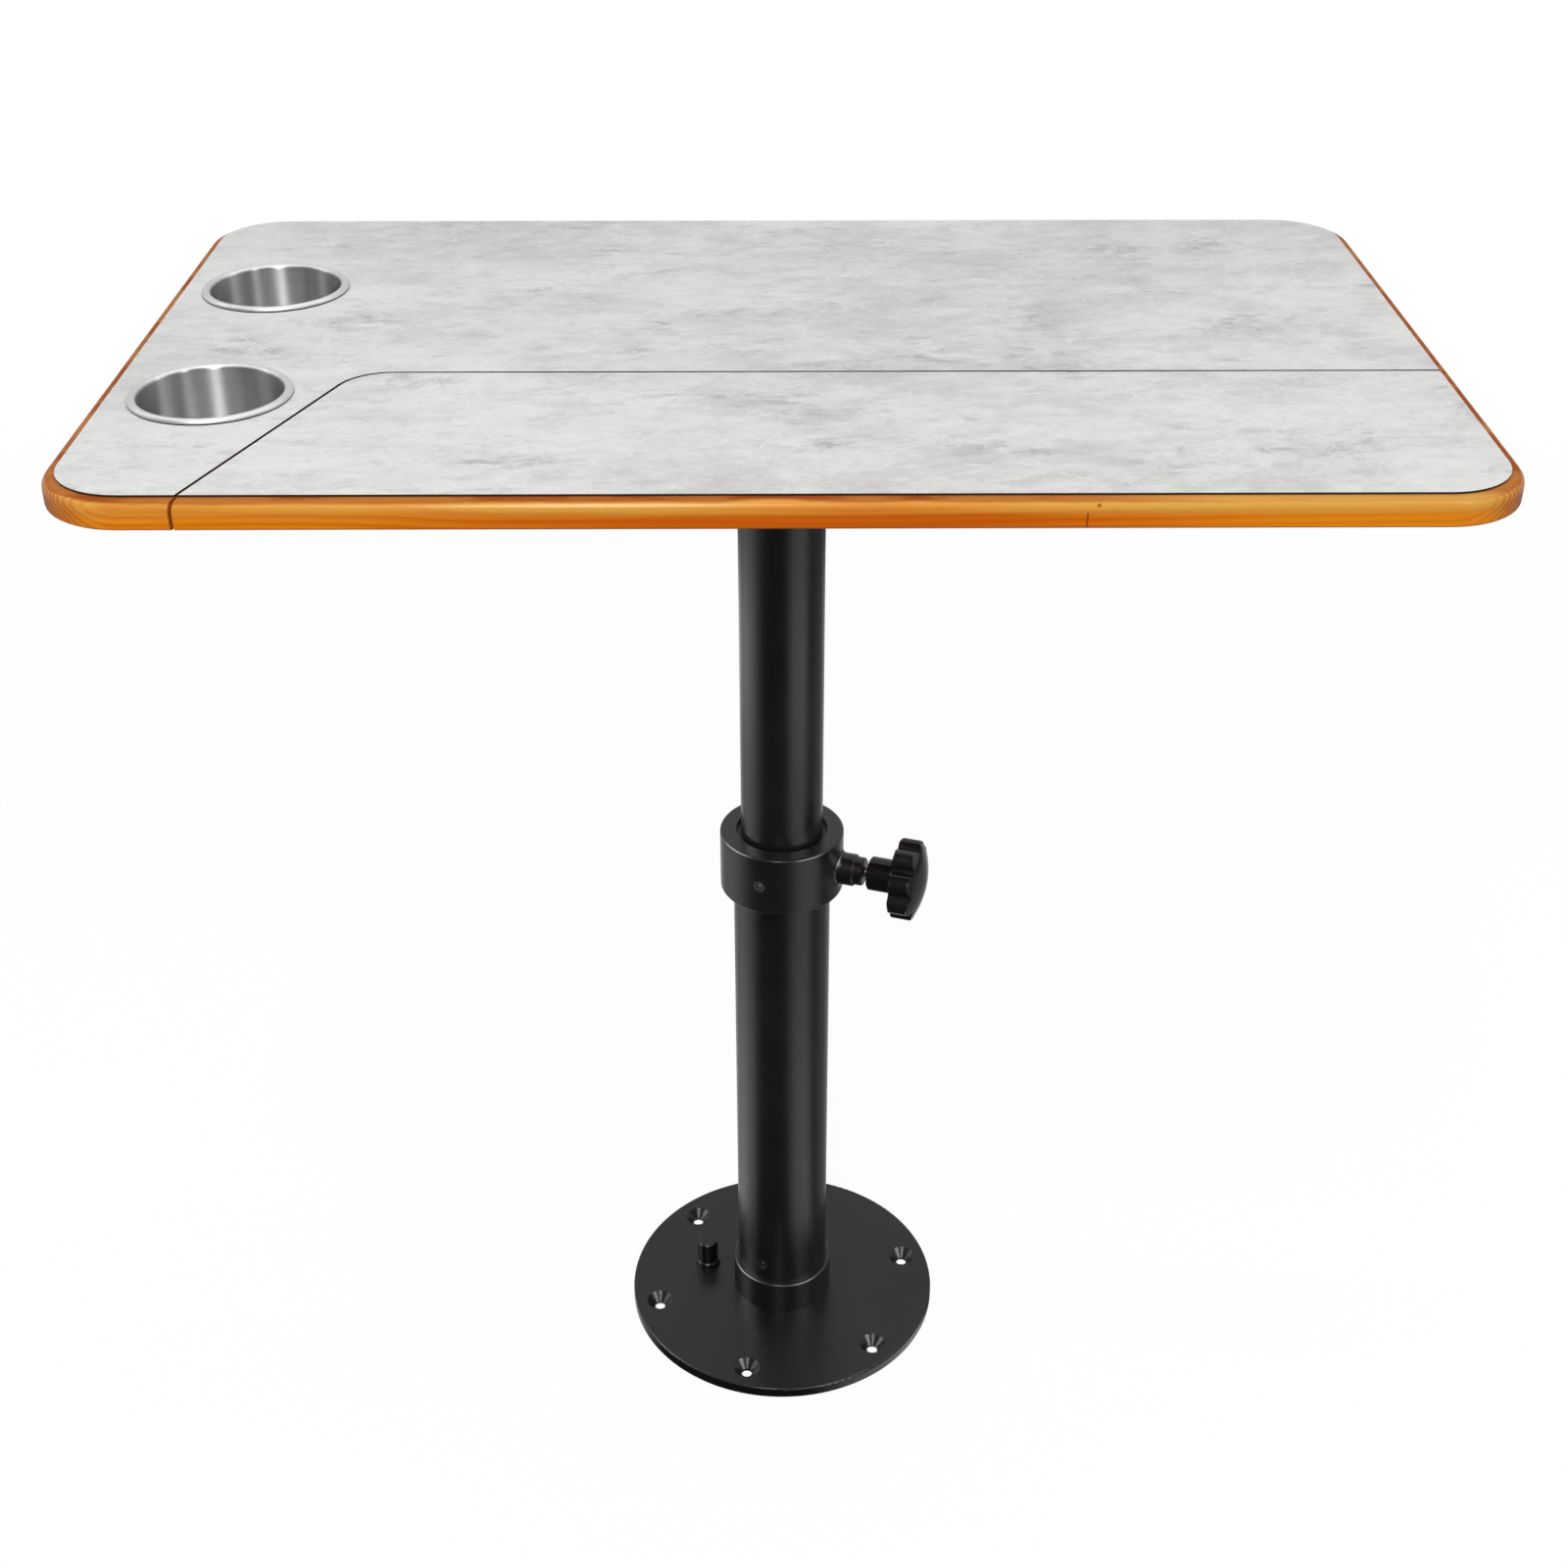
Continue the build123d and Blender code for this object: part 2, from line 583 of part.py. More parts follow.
def retaining_ring():
    """The open ring in the tube's groove that keeps the glide on."""
    floor, low, high = retainer_groove(0)
    ring = pipe(LOWER_BORE_RADIUS - RETAINER_GAP, floor, low, high)
    reach = 2 * UPPER_RADIUS
    half_width = reach * math.tan(math.radians(RETAINER_OPENING / 2))
    mouth = Polygon((0, 0), (reach, -half_width), (reach, half_width), align=None)
    return ring - Pos(0, 0, low) * extrude(mouth, high - low)


def top_flange():
    """The screwed flange with a hub that holds the top of the upper tube."""
    flange = rod(FLANGE_RADIUS, FLANGE_BOTTOM, UNDERSIDE)
    flange = fillet(flange.edges().group_by(Axis.Z)[0], FLANGE_EDGE_RADIUS)
    flange = flange + rod(FLANGE_HUB_RADIUS, FLANGE_HUB_BOTTOM, FLANGE_BOTTOM)
    circles = flange.edges().filter_by(GeomType.CIRCLE)
    root = circles.sort_by_distance((FLANGE_HUB_RADIUS, 0, FLANGE_BOTTOM))[0]
    flange = fillet(root, FLANGE_HUB_FILLET)
    flange = flange - rod(UPPER_RADIUS + SEAT, FLANGE_HUB_BOTTOM, FLANGE_BOTTOM)
    screw_way = flange_screw_frame() * rod(SET_SCREW_RADIUS, 0, FLANGE_RADIUS)
    return flange - screw_way - flange_holes()


def flange_set_screw():
    """The set screw that locks the flange's hub on the upper tube."""
    screw = set_screw(UPPER_RADIUS, FLANGE_HUB_RADIUS + FLANGE_SCREW_PROUD)
    return flange_screw_frame() * screw - rod(UPPER_RADIUS + SEAT, 0, UNDERSIDE)


def clamp_pad():
    """The pad on the screw's tip, hollowed to the upper tube's curve."""
    pad = rod(PAD_RADIUS, UPPER_RADIUS - PAD_RADIUS, PAD_BACK)
    pad = pad - rod(STUD_TIP_RADIUS + RUN, PAD_BACK - PAD_THICKNESS / 2, PAD_BACK)
    return clamp_frame() * pad - rod(PAD_FACE, 0, COLLAR_TOP)


def clamp_stud():
    """The clamp screw, whose thin tip turns in the pad."""
    shoulder = PAD_BACK + RUN
    tip = rod(STUD_TIP_RADIUS, PAD_BACK - PAD_THICKNESS / 2 + PASS, shoulder)
    shank = rod(STUD_RADIUS, shoulder, KNOB_START + STUD_IN_KNOB)
    shank = chamfer(shank.edges().group_by(Axis.Z)[0], (STUD_RADIUS - STUD_TIP_RADIUS) / 2)
    return clamp_frame() * (tip + shank)


def star_outline():
    """The grip's outline: round lobes set on a disc, with small fillets in the valleys."""
    star = Circle(KNOB_RADIUS - KNOB_VALLEY_DEPTH)
    circle = KNOB_RADIUS - KNOB_LOBE_RADIUS
    for place in PolarLocations(circle, KNOB_LOBES):
        star = star + place * Circle(KNOB_LOBE_RADIUS)
    return fillet(star.vertices(), KNOB_VALLEY_FILLET)


def clamp_knob():
    """The star knob: a hub, and a lobed rim cut from a blank with a domed face and rounded edges."""
    rim = Pos(0, 0, KNOB_RIM_START) * extrude(star_outline(), KNOB_RIM_WIDTH + KNOB_DOME)
    edge = KNOB_EDGE_RADIUS
    shoulder = KNOB_RADIUS - edge
    crown = KNOB_RIM_END + KNOB_DOME
    dome_slope = (-1, 2 * KNOB_DOME / shoulder)
    half_section = [
        Line((0, KNOB_RIM_START), (shoulder, KNOB_RIM_START)),
        CenterArc((shoulder, KNOB_RIM_START + edge), edge, 270, 90),
        Line((KNOB_RADIUS, KNOB_RIM_START + edge), (KNOB_RADIUS, KNOB_RIM_END - edge)),
        CenterArc((shoulder, KNOB_RIM_END - edge), edge, 0, 90),
        TangentArc((shoulder, KNOB_RIM_END), (0, crown), tangent=dome_slope),
        Line((0, crown), (0, KNOB_RIM_START)),
    ]
    blank = revolve(Plane.XZ * make_face(half_section), Axis.Z)
    hub = rod(KNOB_HUB_RADIUS, KNOB_START, KNOB_RIM_START + KNOB_RIM_WIDTH / 2)
    hub = chamfer(hub.edges().group_by(Axis.Z)[0], KNOB_HUB_CHAMFER)
    knob = (rim & blank) + hub
    stud_hole = rod(STUD_RADIUS + SEAT, KNOB_START, KNOB_START + STUD_IN_KNOB + SEAT)
    return clamp_frame() * Rot(0, 0, KNOB_LOBE_START) * (knob - stud_hole)


def knuckles(side):
    """The stretches along X that one hinge plate's barrels take: the ends on +1, the middle on -1."""
    third = HINGE_LENGTH / 3
    if side > 0:
        return [(-HINGE_LENGTH / 2, -third / 2 - PASS / 2), (third / 2 + PASS / 2, HINGE_LENGTH / 2)]
    return [(-third / 2 + PASS / 2, third / 2 - PASS / 2)]


def hinge_plate(x, side):
    """One hinge plate: flat on the wood, with barrels rolled down round the pin's line."""
    barrel = HINGE_BARREL_RADIUS
    inner_edge = barrel + 2 * PASS
    low_y = min(side * inner_edge, side * HINGE_WIDTH)
    depth = HINGE_WIDTH - inner_edge
    flat = Box(HINGE_LENGTH, depth, HINGE_PLATE, align=(Align.CENTER, Align.MIN, Align.MAX))
    flat = Pos(0, low_y, barrel) * flat
    outer = flat.edges().filter_by(Axis.Z).group_by(Axis.Y)[-1 if side > 0 else 0]
    plate = fillet(outer, HINGE_CORNER_RADIUS)
    bore = HINGE_PIN_RADIUS + (SEAT if side > 0 else RUN)
    for start, end in knuckles(side):
        frame, length = along_x(start, end, 0, 0)
        tongue_depth = Align.MIN if side > 0 else Align.MAX
        tongue = Box(length, inner_edge, HINGE_PLATE, align=(Align.MIN, tongue_depth, Align.MAX))
        plate = plate + Pos(start, 0, barrel) * tongue + frame * rod(barrel, 0, length)
        plate = plate - frame * rod(bore, 0, length)
    return Pos(x, SEAM_Y, HINGE_Z) * plate - small_holes(hinge_screw_places(side))


def hinge_pin(x):
    """The hinge pin, with a flat head at each end."""
    frame, length = along_x(x - HINGE_LENGTH / 2, x + HINGE_LENGTH / 2, SEAM_Y, HINGE_Z)
    head_radius = (HINGE_PIN_RADIUS + HINGE_BARREL_RADIUS) / 2
    pin = rod(HINGE_PIN_RADIUS, 0, length)
    heads = rod(head_radius, -HINGE_PIN_HEAD, 0) + rod(head_radius, length, length + HINGE_PIN_HEAD)
    return frame * (pin + heads)


def stay_bracket(x, side):
    """An angle bracket under the board: a screwed plate, and an ear that holds the arm's rivet."""
    y = SEAM_Y + side * STAY_ARM_SPAN
    ear_start = -PASS / 2 - STAY_EAR_THICKNESS if side > 0 else PASS / 2
    ear_outline = Circle(STAY_EAR_RADIUS) + Rectangle(
        2 * STAY_EAR_RADIUS, HINGE_BARREL_RADIUS, align=(Align.CENTER, Align.MIN)
    )
    above = Rectangle(2 * STAY_EAR_RADIUS, STAY_EAR_RADIUS, align=(Align.CENTER, Align.MIN))
    ear_outline = ear_outline - Pos(0, HINGE_BARREL_RADIUS) * above
    ear = Plane.YZ.offset(x + ear_start) * Pos(y, HINGE_Z) * ear_outline
    plate_align = Align.MAX if side > 0 else Align.MIN
    plate_aligns = (plate_align, Align.CENTER, Align.MAX)
    plate = Box(STAY_PLATE_WIDTH, STAY_PLATE_LENGTH, STAY_EAR_THICKNESS, align=plate_aligns)
    plate = Pos(x - side * PASS / 2, y, UNDERSIDE) * plate
    bracket = extrude(ear, STAY_EAR_THICKNESS) + plate
    frame, length = along_x(x - STAY_PLATE_WIDTH, x + STAY_PLATE_WIDTH, y, HINGE_Z)
    rivet_hole = frame * rod(STAY_RIVET_RADIUS + SEAT, 0, length)
    return bracket - rivet_hole - small_holes(stay_screw_places(side))


def stay_arm(x, side):
    """One flat arm on edge: the rear arm on +1 and the front arm on -1, side by side at the elbow."""
    start = x + PASS / 2 if side > 0 else x - PASS / 2 - STAY_ARM_THICKNESS
    outline = SlotCenterToCenter(STAY_ARM_SPAN, STAY_ARM_HEIGHT)
    middle = SEAM_Y + side * STAY_ARM_SPAN / 2
    arm = extrude(Plane.YZ.offset(start) * Pos(middle, HINGE_Z) * outline, STAY_ARM_THICKNESS)
    elbow_play = SEAT if side > 0 else RUN
    for y, play in ((SEAM_Y, elbow_play), (SEAM_Y + side * STAY_ARM_SPAN, RUN)):
        frame, length = along_x(start, start + STAY_ARM_THICKNESS, y, HINGE_Z)
        arm = arm - frame * rod(STAY_RIVET_RADIUS + play, 0, length)
    return arm


def stay_rivet(start, end, y, head_before, head_after):
    """A rivet along X with a flat head at either end or at both, and flush where it has none."""
    frame, length = along_x(start, end, y, HINGE_Z)
    rivet = rod(STAY_RIVET_RADIUS, 0, length)
    if head_before:
        rivet = rivet + rod(STAY_RIVET_HEAD_RADIUS, -STAY_RIVET_HEAD, 0)
    if head_after:
        rivet = rivet + rod(STAY_RIVET_HEAD_RADIUS, length, length + STAY_RIVET_HEAD)
    return frame * rivet


def elbow_rivets():
    """The rivets that join the two arms of each stay."""
    reach = PASS / 2 + STAY_ARM_THICKNESS
    places = STAY_PLACES.values()
    return Compound([stay_rivet(x - reach - PASS, x + reach, SEAM_Y, True, True) for x in places])


def bracket_rivets(side):
    """The rivets that join an arm to its bracket, headed on the arm and flush in the ear."""
    ear_reach = PASS / 2 + STAY_EAR_THICKNESS
    arm_reach = PASS / 2 + STAY_ARM_THICKNESS + PASS
    y = SEAM_Y + side * STAY_ARM_SPAN
    before, after = (ear_reach, arm_reach) if side > 0 else (arm_reach, ear_reach)
    places = STAY_PLACES.values()
    return Compound([stay_rivet(x - before, x + after, y, side < 0, side > 0) for x in places])


def all_pieces():
    """Every piece of the table by its name."""
    front_cup, rear_cup = cup_centres()
    pieces = {
        "base_plate": base_plate(),
        "tube_spigot": tube_spigot(),
        "base_trim_ring": base_trim_ring(),
        "base_peg": base_peg(),
        "foot_set_screw": foot_set_screw(),
        "lower_tube": lower_tube(),
        "clamp_collar": clamp_collar(),
        "collar_set_screw": collar_set_screw(),
        "guide_bush": guide_bush(),
        "glide_bush": glide_bush(),
        "upper_tube": upper_tube(),
        "foot_plug": foot_plug(),
        "retaining_ring": retaining_ring(),
        "top_flange": top_flange(),
        "flange_set_screw": flange_set_screw(),
        "flange_screws": flange_screws(),
        "clamp_pad": clamp_pad(),
        "clamp_stud": clamp_stud(),
        "clamp_knob": clamp_knob(),
        "main_board": main_board(),
        "main_laminate": main_laminate(),
        "leaf_board": leaf_board(),
        "leaf_laminate": leaf_laminate(),
        "cup_front": cup_holder(front_cup),
        "cup_rear": cup_holder(rear_cup),
        "hinge_main_screws": small_screws(hinge_screw_places(1)),
        "hinge_leaf_screws": small_screws(hinge_screw_places(-1)),
        "stay_main_screws": small_screws(stay_screw_places(1)),
        "stay_leaf_screws": small_screws(stay_screw_places(-1)),
        "stay_elbow_rivets": elbow_rivets(),
        "stay_main_rivets": bracket_rivets(1),
        "stay_leaf_rivets": bracket_rivets(-1),
    }
    for number, x in enumerate(HINGE_PLACES, start=1):
        pieces[f"hinge_main_plate_{number}"] = hinge_plate(x, 1)
        pieces[f"hinge_leaf_plate_{number}"] = hinge_plate(x, -1)
        pieces[f"hinge_pin_{number}"] = hinge_pin(x)
    for side_name, x in STAY_PLACES.items():
        pieces[f"stay_main_bracket_{side_name}"] = stay_bracket(x, 1)
        pieces[f"stay_leaf_bracket_{side_name}"] = stay_bracket(x, -1)
        pieces[f"stay_rear_arm_{side_name}"] = stay_arm(x, 1)
        pieces[f"stay_front_arm_{side_name}"] = stay_arm(x, -1)
    return pieces


os.makedirs("parts", exist_ok=True)
for name, piece in all_pieces().items():
    export_step(piece, f"parts/{name}.step")
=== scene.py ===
import json
import math
from typing import NamedTuple

import bpy
import numpy as np
from bpy.props import FloatProperty, FloatVectorProperty, IntProperty, PointerProperty
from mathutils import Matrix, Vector


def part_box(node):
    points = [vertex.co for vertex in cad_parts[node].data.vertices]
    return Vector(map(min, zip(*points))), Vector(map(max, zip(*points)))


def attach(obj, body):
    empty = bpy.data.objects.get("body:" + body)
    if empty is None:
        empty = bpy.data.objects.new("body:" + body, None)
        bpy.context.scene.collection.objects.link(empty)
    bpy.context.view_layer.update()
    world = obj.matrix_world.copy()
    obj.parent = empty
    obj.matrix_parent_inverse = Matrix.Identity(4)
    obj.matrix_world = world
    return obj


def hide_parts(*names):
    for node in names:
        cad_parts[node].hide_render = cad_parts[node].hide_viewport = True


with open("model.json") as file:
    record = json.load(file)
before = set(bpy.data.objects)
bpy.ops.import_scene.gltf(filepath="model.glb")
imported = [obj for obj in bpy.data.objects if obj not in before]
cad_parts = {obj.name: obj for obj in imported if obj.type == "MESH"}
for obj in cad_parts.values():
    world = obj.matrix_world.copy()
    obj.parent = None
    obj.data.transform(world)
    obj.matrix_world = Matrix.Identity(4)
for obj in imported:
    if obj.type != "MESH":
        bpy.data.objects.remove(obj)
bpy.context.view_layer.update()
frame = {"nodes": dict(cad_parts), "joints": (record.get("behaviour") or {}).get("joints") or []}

bl_info = {
    "name": "Camper table finishes",
    "version": (1, 0, 0),
    "blender": (4, 5, 0),
    "location": "View3D > Sidebar > Camper table",
    "description": "Gives a single pole camper table its finishes, its screw threads and a plain studio",
    "category": "Object",
}

JOINTS = {joint["name"]: joint for joint in frame["joints"]}

# The nodes of each material slot, before any of them is dressed
SLOT_NODES = {}
for node in frame["nodes"].values():
    SLOT_NODES.setdefault(node.data.materials[0].name, []).append(node)

# Faces of the top and the mouth of a cup holder, in metres
TOP_FACE = float(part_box("main_laminate")[1][2])
WOOD_TOP = float(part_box("main_board")[1][2])
WOOD_BOTTOM = float(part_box("main_board")[0][2])
WOOD_FRONT = float(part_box("leaf_board")[0][1])
CUP_WIDTH = float(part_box("cup_front")[1][0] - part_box("cup_front")[0][0])
CUP_RIM_WIDTH = 0.0045
CUP_MOUTH = 0.5 * CUP_WIDTH - CUP_RIM_WIDTH

WHITE = (1.0, 1.0, 1.0, 1.0)
SHARP_EDGE = math.radians(40.0)
GOLDEN_ANGLE = math.pi * (3.0 - math.sqrt(5.0))
NEAR = 1e-5  # metres within which two places are one

# The wood screws under the top, and the body that each set of them is driven into
SCREW_BODIES = {
    "flange_screws": "top",
    "hinge_main_screws": "top",
    "stay_main_screws": "top",
    "hinge_leaf_screws": "leaf",
    "stay_leaf_screws": "leaf",
}


class Layer(NamedTuple):
    """A layer of noise: its features to the metre on each axis, its start, and how fine it is."""

    scale: tuple
    start: tuple = (0.0, 0.0, 0.0)
    detail: float = 2.0
    roughness: float = 0.5


class Value:
    """A socket with arithmetic: each operator adds one Math node and gives its result."""

    def __init__(self, graph, socket):
        self.graph = graph
        self.socket = socket

    def math(self, operation, *terms):
        """The result of one Math node on these terms."""
        return self.graph.node("ShaderNodeMath", {"operation": operation}, dict(enumerate(terms)))

    def __add__(self, other):
        return self.math("ADD", self, other)

    def __radd__(self, other):
        return self.math("ADD", other, self)

    def __sub__(self, other):
        return self.math("SUBTRACT", self, other)

    def __rsub__(self, other):
        return self.math("SUBTRACT", other, self)

    def __mul__(self, other):
        return self.math("MULTIPLY", self, other)

    def __rmul__(self, other):
        return self.math("MULTIPLY", other, self)

    def __truediv__(self, other):
        return self.math("DIVIDE", self, other)

    def __rtruediv__(self, other):
        return self.math("DIVIDE", other, self)

    def __pow__(self, other):
        return self.math("POWER", self, other)

    def __rpow__(self, other):
        return self.math("POWER", other, self)

    def __neg__(self):
        return self.math("MULTIPLY", self, -1.0)

    def __abs__(self):
        return self.math("ABSOLUTE", self)

    def fraction(self):
        """What is left of a value past its whole number."""
        return self.math("FRACT", self)

    def larger(self, other):
        """The larger of two values."""
        return self.math("MAXIMUM", self, other)

    def swing(self, width):
        """A value of 0 to 1 as a swing to both sides of zero, this wide."""
        return width * (self - 0.5)


class Graph:
    """The nodes of one material or world."""

    def __init__(self, owner):
        owner.use_nodes = True
        self.tree = owner.node_tree
        self.tree.nodes.clear()

    def node(self, kind, settings=None, sockets=None, output=0):
        """Add a node of a kind: first its settings, then the values or links of its sockets."""
        made = self.tree.nodes.new(kind)
        for name, setting in (settings or {}).items():
            setattr(made, name, setting)
        for key, value in (sockets or {}).items():
            if isinstance(value, Value):
                self.tree.links.new(value.socket, made.inputs[key])
            else:
                made.inputs[key].default_value = value
        return Value(self, made.outputs[output]) if made.outputs else None

    def place(self, output="Object"):
        """The object coordinates, or another output of the coordinates node."""
        return self.node("ShaderNodeTexCoord", output=output)

    def axis(self, vector, index):
        """One component of a vector."""
        return self.node("ShaderNodeSeparateXYZ", sockets={0: vector}, output=index)

    def ray(self, kind):
        """1 on rays of a kind, and 0 on the others."""
        return self.node("ShaderNodeLightPath", output=kind)

    def stretch(self, vector, scale, shift=(0.0, 0.0, 0.0)):
        """A vector times a scale on each axis, plus a shift."""
        settings = {"operation": "MULTIPLY_ADD"}
        return self.node("ShaderNodeVectorMath", settings, {0: vector, 1: scale, 2: shift})

    def turned(self, vector, about_z):
        """A vector turned about Z."""
        sockets = {"Vector": vector, "Rotation": (0.0, 0.0, about_z)}
        return self.node("ShaderNodeMapping", sockets=sockets)

    def noise(self, vector, detail, roughness, output=0):
        """Fractal noise with features about one unit long."""
        sockets = {"Vector": vector, "Scale": 1.0, "Detail": detail, "Roughness": roughness}
        return self.node("ShaderNodeTexNoise", sockets=sockets, output=output)

    def layer(self, vector, layer, output=0):
        """A layer of noise at a place."""
        stretched = self.stretch(vector, layer.scale, layer.start)
        return self.noise(stretched, layer.detail, layer.roughness, output)

    def step(self, value, low, high):
        """A smooth step of a value from 0 at low to 1 at high."""
        settings = {"interpolation_type": "SMOOTHSTEP"}
        return self.node("ShaderNodeMapRange", settings, {0: value, 1: low, 2: high})

    def tint(self, share, first, second):
        """The first colour, going over to the second by a share."""
        sockets = {0: share, 6: first, 7: second}
        return self.node("ShaderNodeMix", {"data_type": "RGBA"}, sockets, output=2)

    def bump(self, height, depth):
        """The normal of a relief whose height runs from 0 to 1, this deep in metres."""
        sockets = {"Height": height, "Distance": depth, "Strength": 1.0}
        return self.node("ShaderNodeBump", sockets=sockets)

    def principled(self, sockets):
        """A principled surface with these sockets."""
        return self.node("ShaderNodeBsdfPrincipled", sockets=sockets)

    def mixed(self, share, first, second):
        """The first surface, going over to the second by a share."""
        return self.node("ShaderNodeMixShader", sockets={0: share, 1: first, 2: second})

    def finish(self, surface, kind="ShaderNodeOutputMaterial"):
        """Put a surface on the output."""
        self.node(kind, sockets={"Surface": surface})


def opaque(colour):
    """A colour property as a socket's four numbers."""
    return (*colour, 1.0)


def new_graph(name):
    """An empty material of this name, and its graph."""
    material = bpy.data.materials.new(name)
    return material, Graph(material)


def dress(slot, material):
    """Give a material to every node of a slot."""
    for node in SLOT_NODES[slot]:
        node.material_slots[0].material = material


def colour(name, description, default):
    """A colour property."""
    return FloatVectorProperty(name=name, description=description, subtype="COLOR", default=default)


def share(name, description, default):
    """A property that runs from 0 to 1."""
    return FloatProperty(name=name, description=description, min=0.0, max=1.0, default=default)


def length(name, description, default, least=-1.0):
    """A length property that is no less than its least value."""
    return FloatProperty(name=name, description=description, unit="LENGTH", min=least, default=default)


def angle(name, description, degrees):
    """An angle property, from degrees."""
    return FloatProperty(
        name=name, description=description, subtype="ANGLE", default=math.radians(degrees))


def place(name, description, default):
    """A property for a place in the table's frame."""
    return FloatVectorProperty(
        name=name, description=description, subtype="TRANSLATION", unit="LENGTH", default=default)


class LaminateSettings(bpy.types.PropertyGroup):
    """The stone-look laminate."""

    ground: colour("Ground", "Pale ground of the stone pattern", (0.725, 0.728, 0.714))
    cloud: colour("Cloud", "Soft grey sheets", (0.500, 0.504, 0.495))
    shadow: colour("Shadow", "Bluish grey of the darkest streaks", (0.35, 0.360, 0.365))
    vein: colour("Vein", "Pale veins", (0.83, 0.835, 0.83))
    core: colour("Core", "Brown resin core at the cut edge", (0.030, 0.016, 0.010))
    shadow_share: share("Shadow share", "Strength of the dark patches", 0.90)
    vein_share: share("Vein share", "Strength of the pale veins", 0.45)
    grit_share: share("Grit share", "Strength of the fine grit", 0.27)
    lean: angle("Lean", "Angle of the streaks to the table's length", 6.0)
    roughness: share("Roughness", "Matt finish of the laminate", 0.45)


class PineSettings(bpy.types.PropertyGroup):
    """The varnished pine of the two boards."""

    early: colour("Early wood", "Light wood of a ring", (0.96, 0.32, 0.0045))
    late: colour("Late wood", "Dark wood of a ring", (0.62, 0.088, 0.0008))
    # This colour is a painted highlight: the round-over of the front edge is paler where light falls on
    # it from above
    wear_and_sheen: colour("Worn wood", "Pale wood where the round-over has thin varnish", (0.69, 0.375, 0.072))
    # This colour also paints shade along the lower edge of the boards
    stain_and_shade: colour("Stain", "Red-brown varnish that gathers at edges", (0.26, 0.036, 0.003))
    ring: length("Ring", "Width of a year ring", 0.0019, least=0.0005)
    heart: place("Heart", "Place of the log's heart across the grain", (0.0, -0.05, WOOD_BOTTOM - 0.16))
    joint_x: length("Joint", "Place of the butt joint in the front edge", 0.1282)
    roughness: share("Roughness", "Roughness of the wood", 0.42)
    coat: share("Varnish", "Weight of the clear varnish", 0.35)
    coat_roughness: share("Varnish roughness", "Roughness of the clear varnish", 0.18)


class MetalSettings(bpy.types.PropertyGroup):
    """The metals and plastics."""

    steel: colour("Stainless", "Brushed steel of the cup holders", (0.70, 0.70, 0.69))
    steel_dull: colour("Brush lines", "Dark tone of the brush lines", (0.34, 0.34, 0.34))
    steel_roughness: share("Stainless roughness", "Roughness of the cup holders' walls", 0.34)
    rim: colour("Cup rim", "Satin steel of the cup holders' rims", (0.74, 0.74, 0.735))
    rim_roughness: share("Rim roughness", "Roughness of the cup holders' rims", 0.46)
    black: colour("Black coat", "Powder coat of the pole", (0.0032, 0.0032, 0.0033))
    black_worn: colour("Worn black coat", "Paler tone of the powder coat", (0.0052, 0.0052, 0.0054))
    black_roughness: share("Coat roughness", "Roughness of the powder coat", 0.29)
    knob: colour("Knob", "Moulded black plastic", (0.0034, 0.0034, 0.0037))
    knob_worn: colour("Worn knob", "Paler tone of the moulded plastic", (0.006, 0.006, 0.0064))
    knob_roughness: share("Knob roughness", "Roughness of the moulded plastic", 0.17)
    nylon: colour("Nylon", "Black nylon of the bushes and the plug", (0.012, 0.012, 0.013))
    nylon_pale: colour("Pale nylon", "Paler tone of the nylon", (0.022, 0.022, 0.023))
    nylon_roughness: share("Nylon roughness", "Roughness of the nylon", 0.45)
    zinc: colour("Zinc", "Zinc-plated hinges, stays and screws", (0.60, 0.61, 0.62))
    zinc_dull: colour("Dull zinc", "Darker tone of the zinc", (0.44, 0.45, 0.45))
    oxide: colour("Black oxide", "Oxide of the set screws", (0.32, 0.32, 0.33))
    oxide_dull: colour("Dull oxide", "Darker tone of the oxide", (0.20, 0.20, 0.21))
    spring: colour("Spring steel", "Steel of the retaining ring", (0.24, 0.24, 0.26))
    spring_dull: colour("Dull spring steel", "Darker tone of the ring's steel", (0.14, 0.14, 0.16))
    brass: colour("Brass", "Brass of the clamp pad", (0.62, 0.42, 0.16))
    brass_dull: colour("Dull brass", "Darker tone of the brass", (0.40, 0.25, 0.08))


class ScrewSettings(bpy.types.PropertyGroup):
    """The clamp screw's thread and the wood screws' cross recesses."""

    thread_pitch: length("Pitch", "Pitch of the clamp screw", 0.00125, least=0.0005)
    thread_depth: length("Depth", "Depth of the clamp screw's thread", 0.00077, least=0.0)
    thread_columns: IntProperty(
        name="Thread columns", description="Faces round the clamp screw", min=16, default=48)
    screw_columns: IntProperty(
        name="Screw columns", description="Faces round a wood screw", min=16, default=64)
    cross_width: share("Cross width", "Half width of a recess, as a share of the head's radius", 0.15)
    cross_reach: share("Cross reach", "Reach of a recess, as a share of the head's radius", 0.58)
    cross_depth: share("Cross depth", "Depth of a recess, as a share of the head's radius", 0.30)


class StageSettings(bpy.types.PropertyGroup):
    """The studio: camera, surroundings and floor."""

    camera_place: place("Camera", "Place of the camera", (-0.0051, -1.1116, 1.0827))
    camera_pitch: angle("Pitch", "Angle of the camera below the horizon", 31.0925)
    camera_turn: angle("Turn", "Angle of the camera about the vertical", -0.33)
    camera_lens: FloatProperty(name="Lens", description="Focal length", unit="CAMERA", default=49.1866)
    ambient: share("Ambient", "Level of the light from all round", 0.34)
    floor: colour("Floor", "Pale floor", (0.62, 0.62, 0.62))
    floor_white: share("Floor white", "Share of plain white in the floor that the camera sees", 0.86)


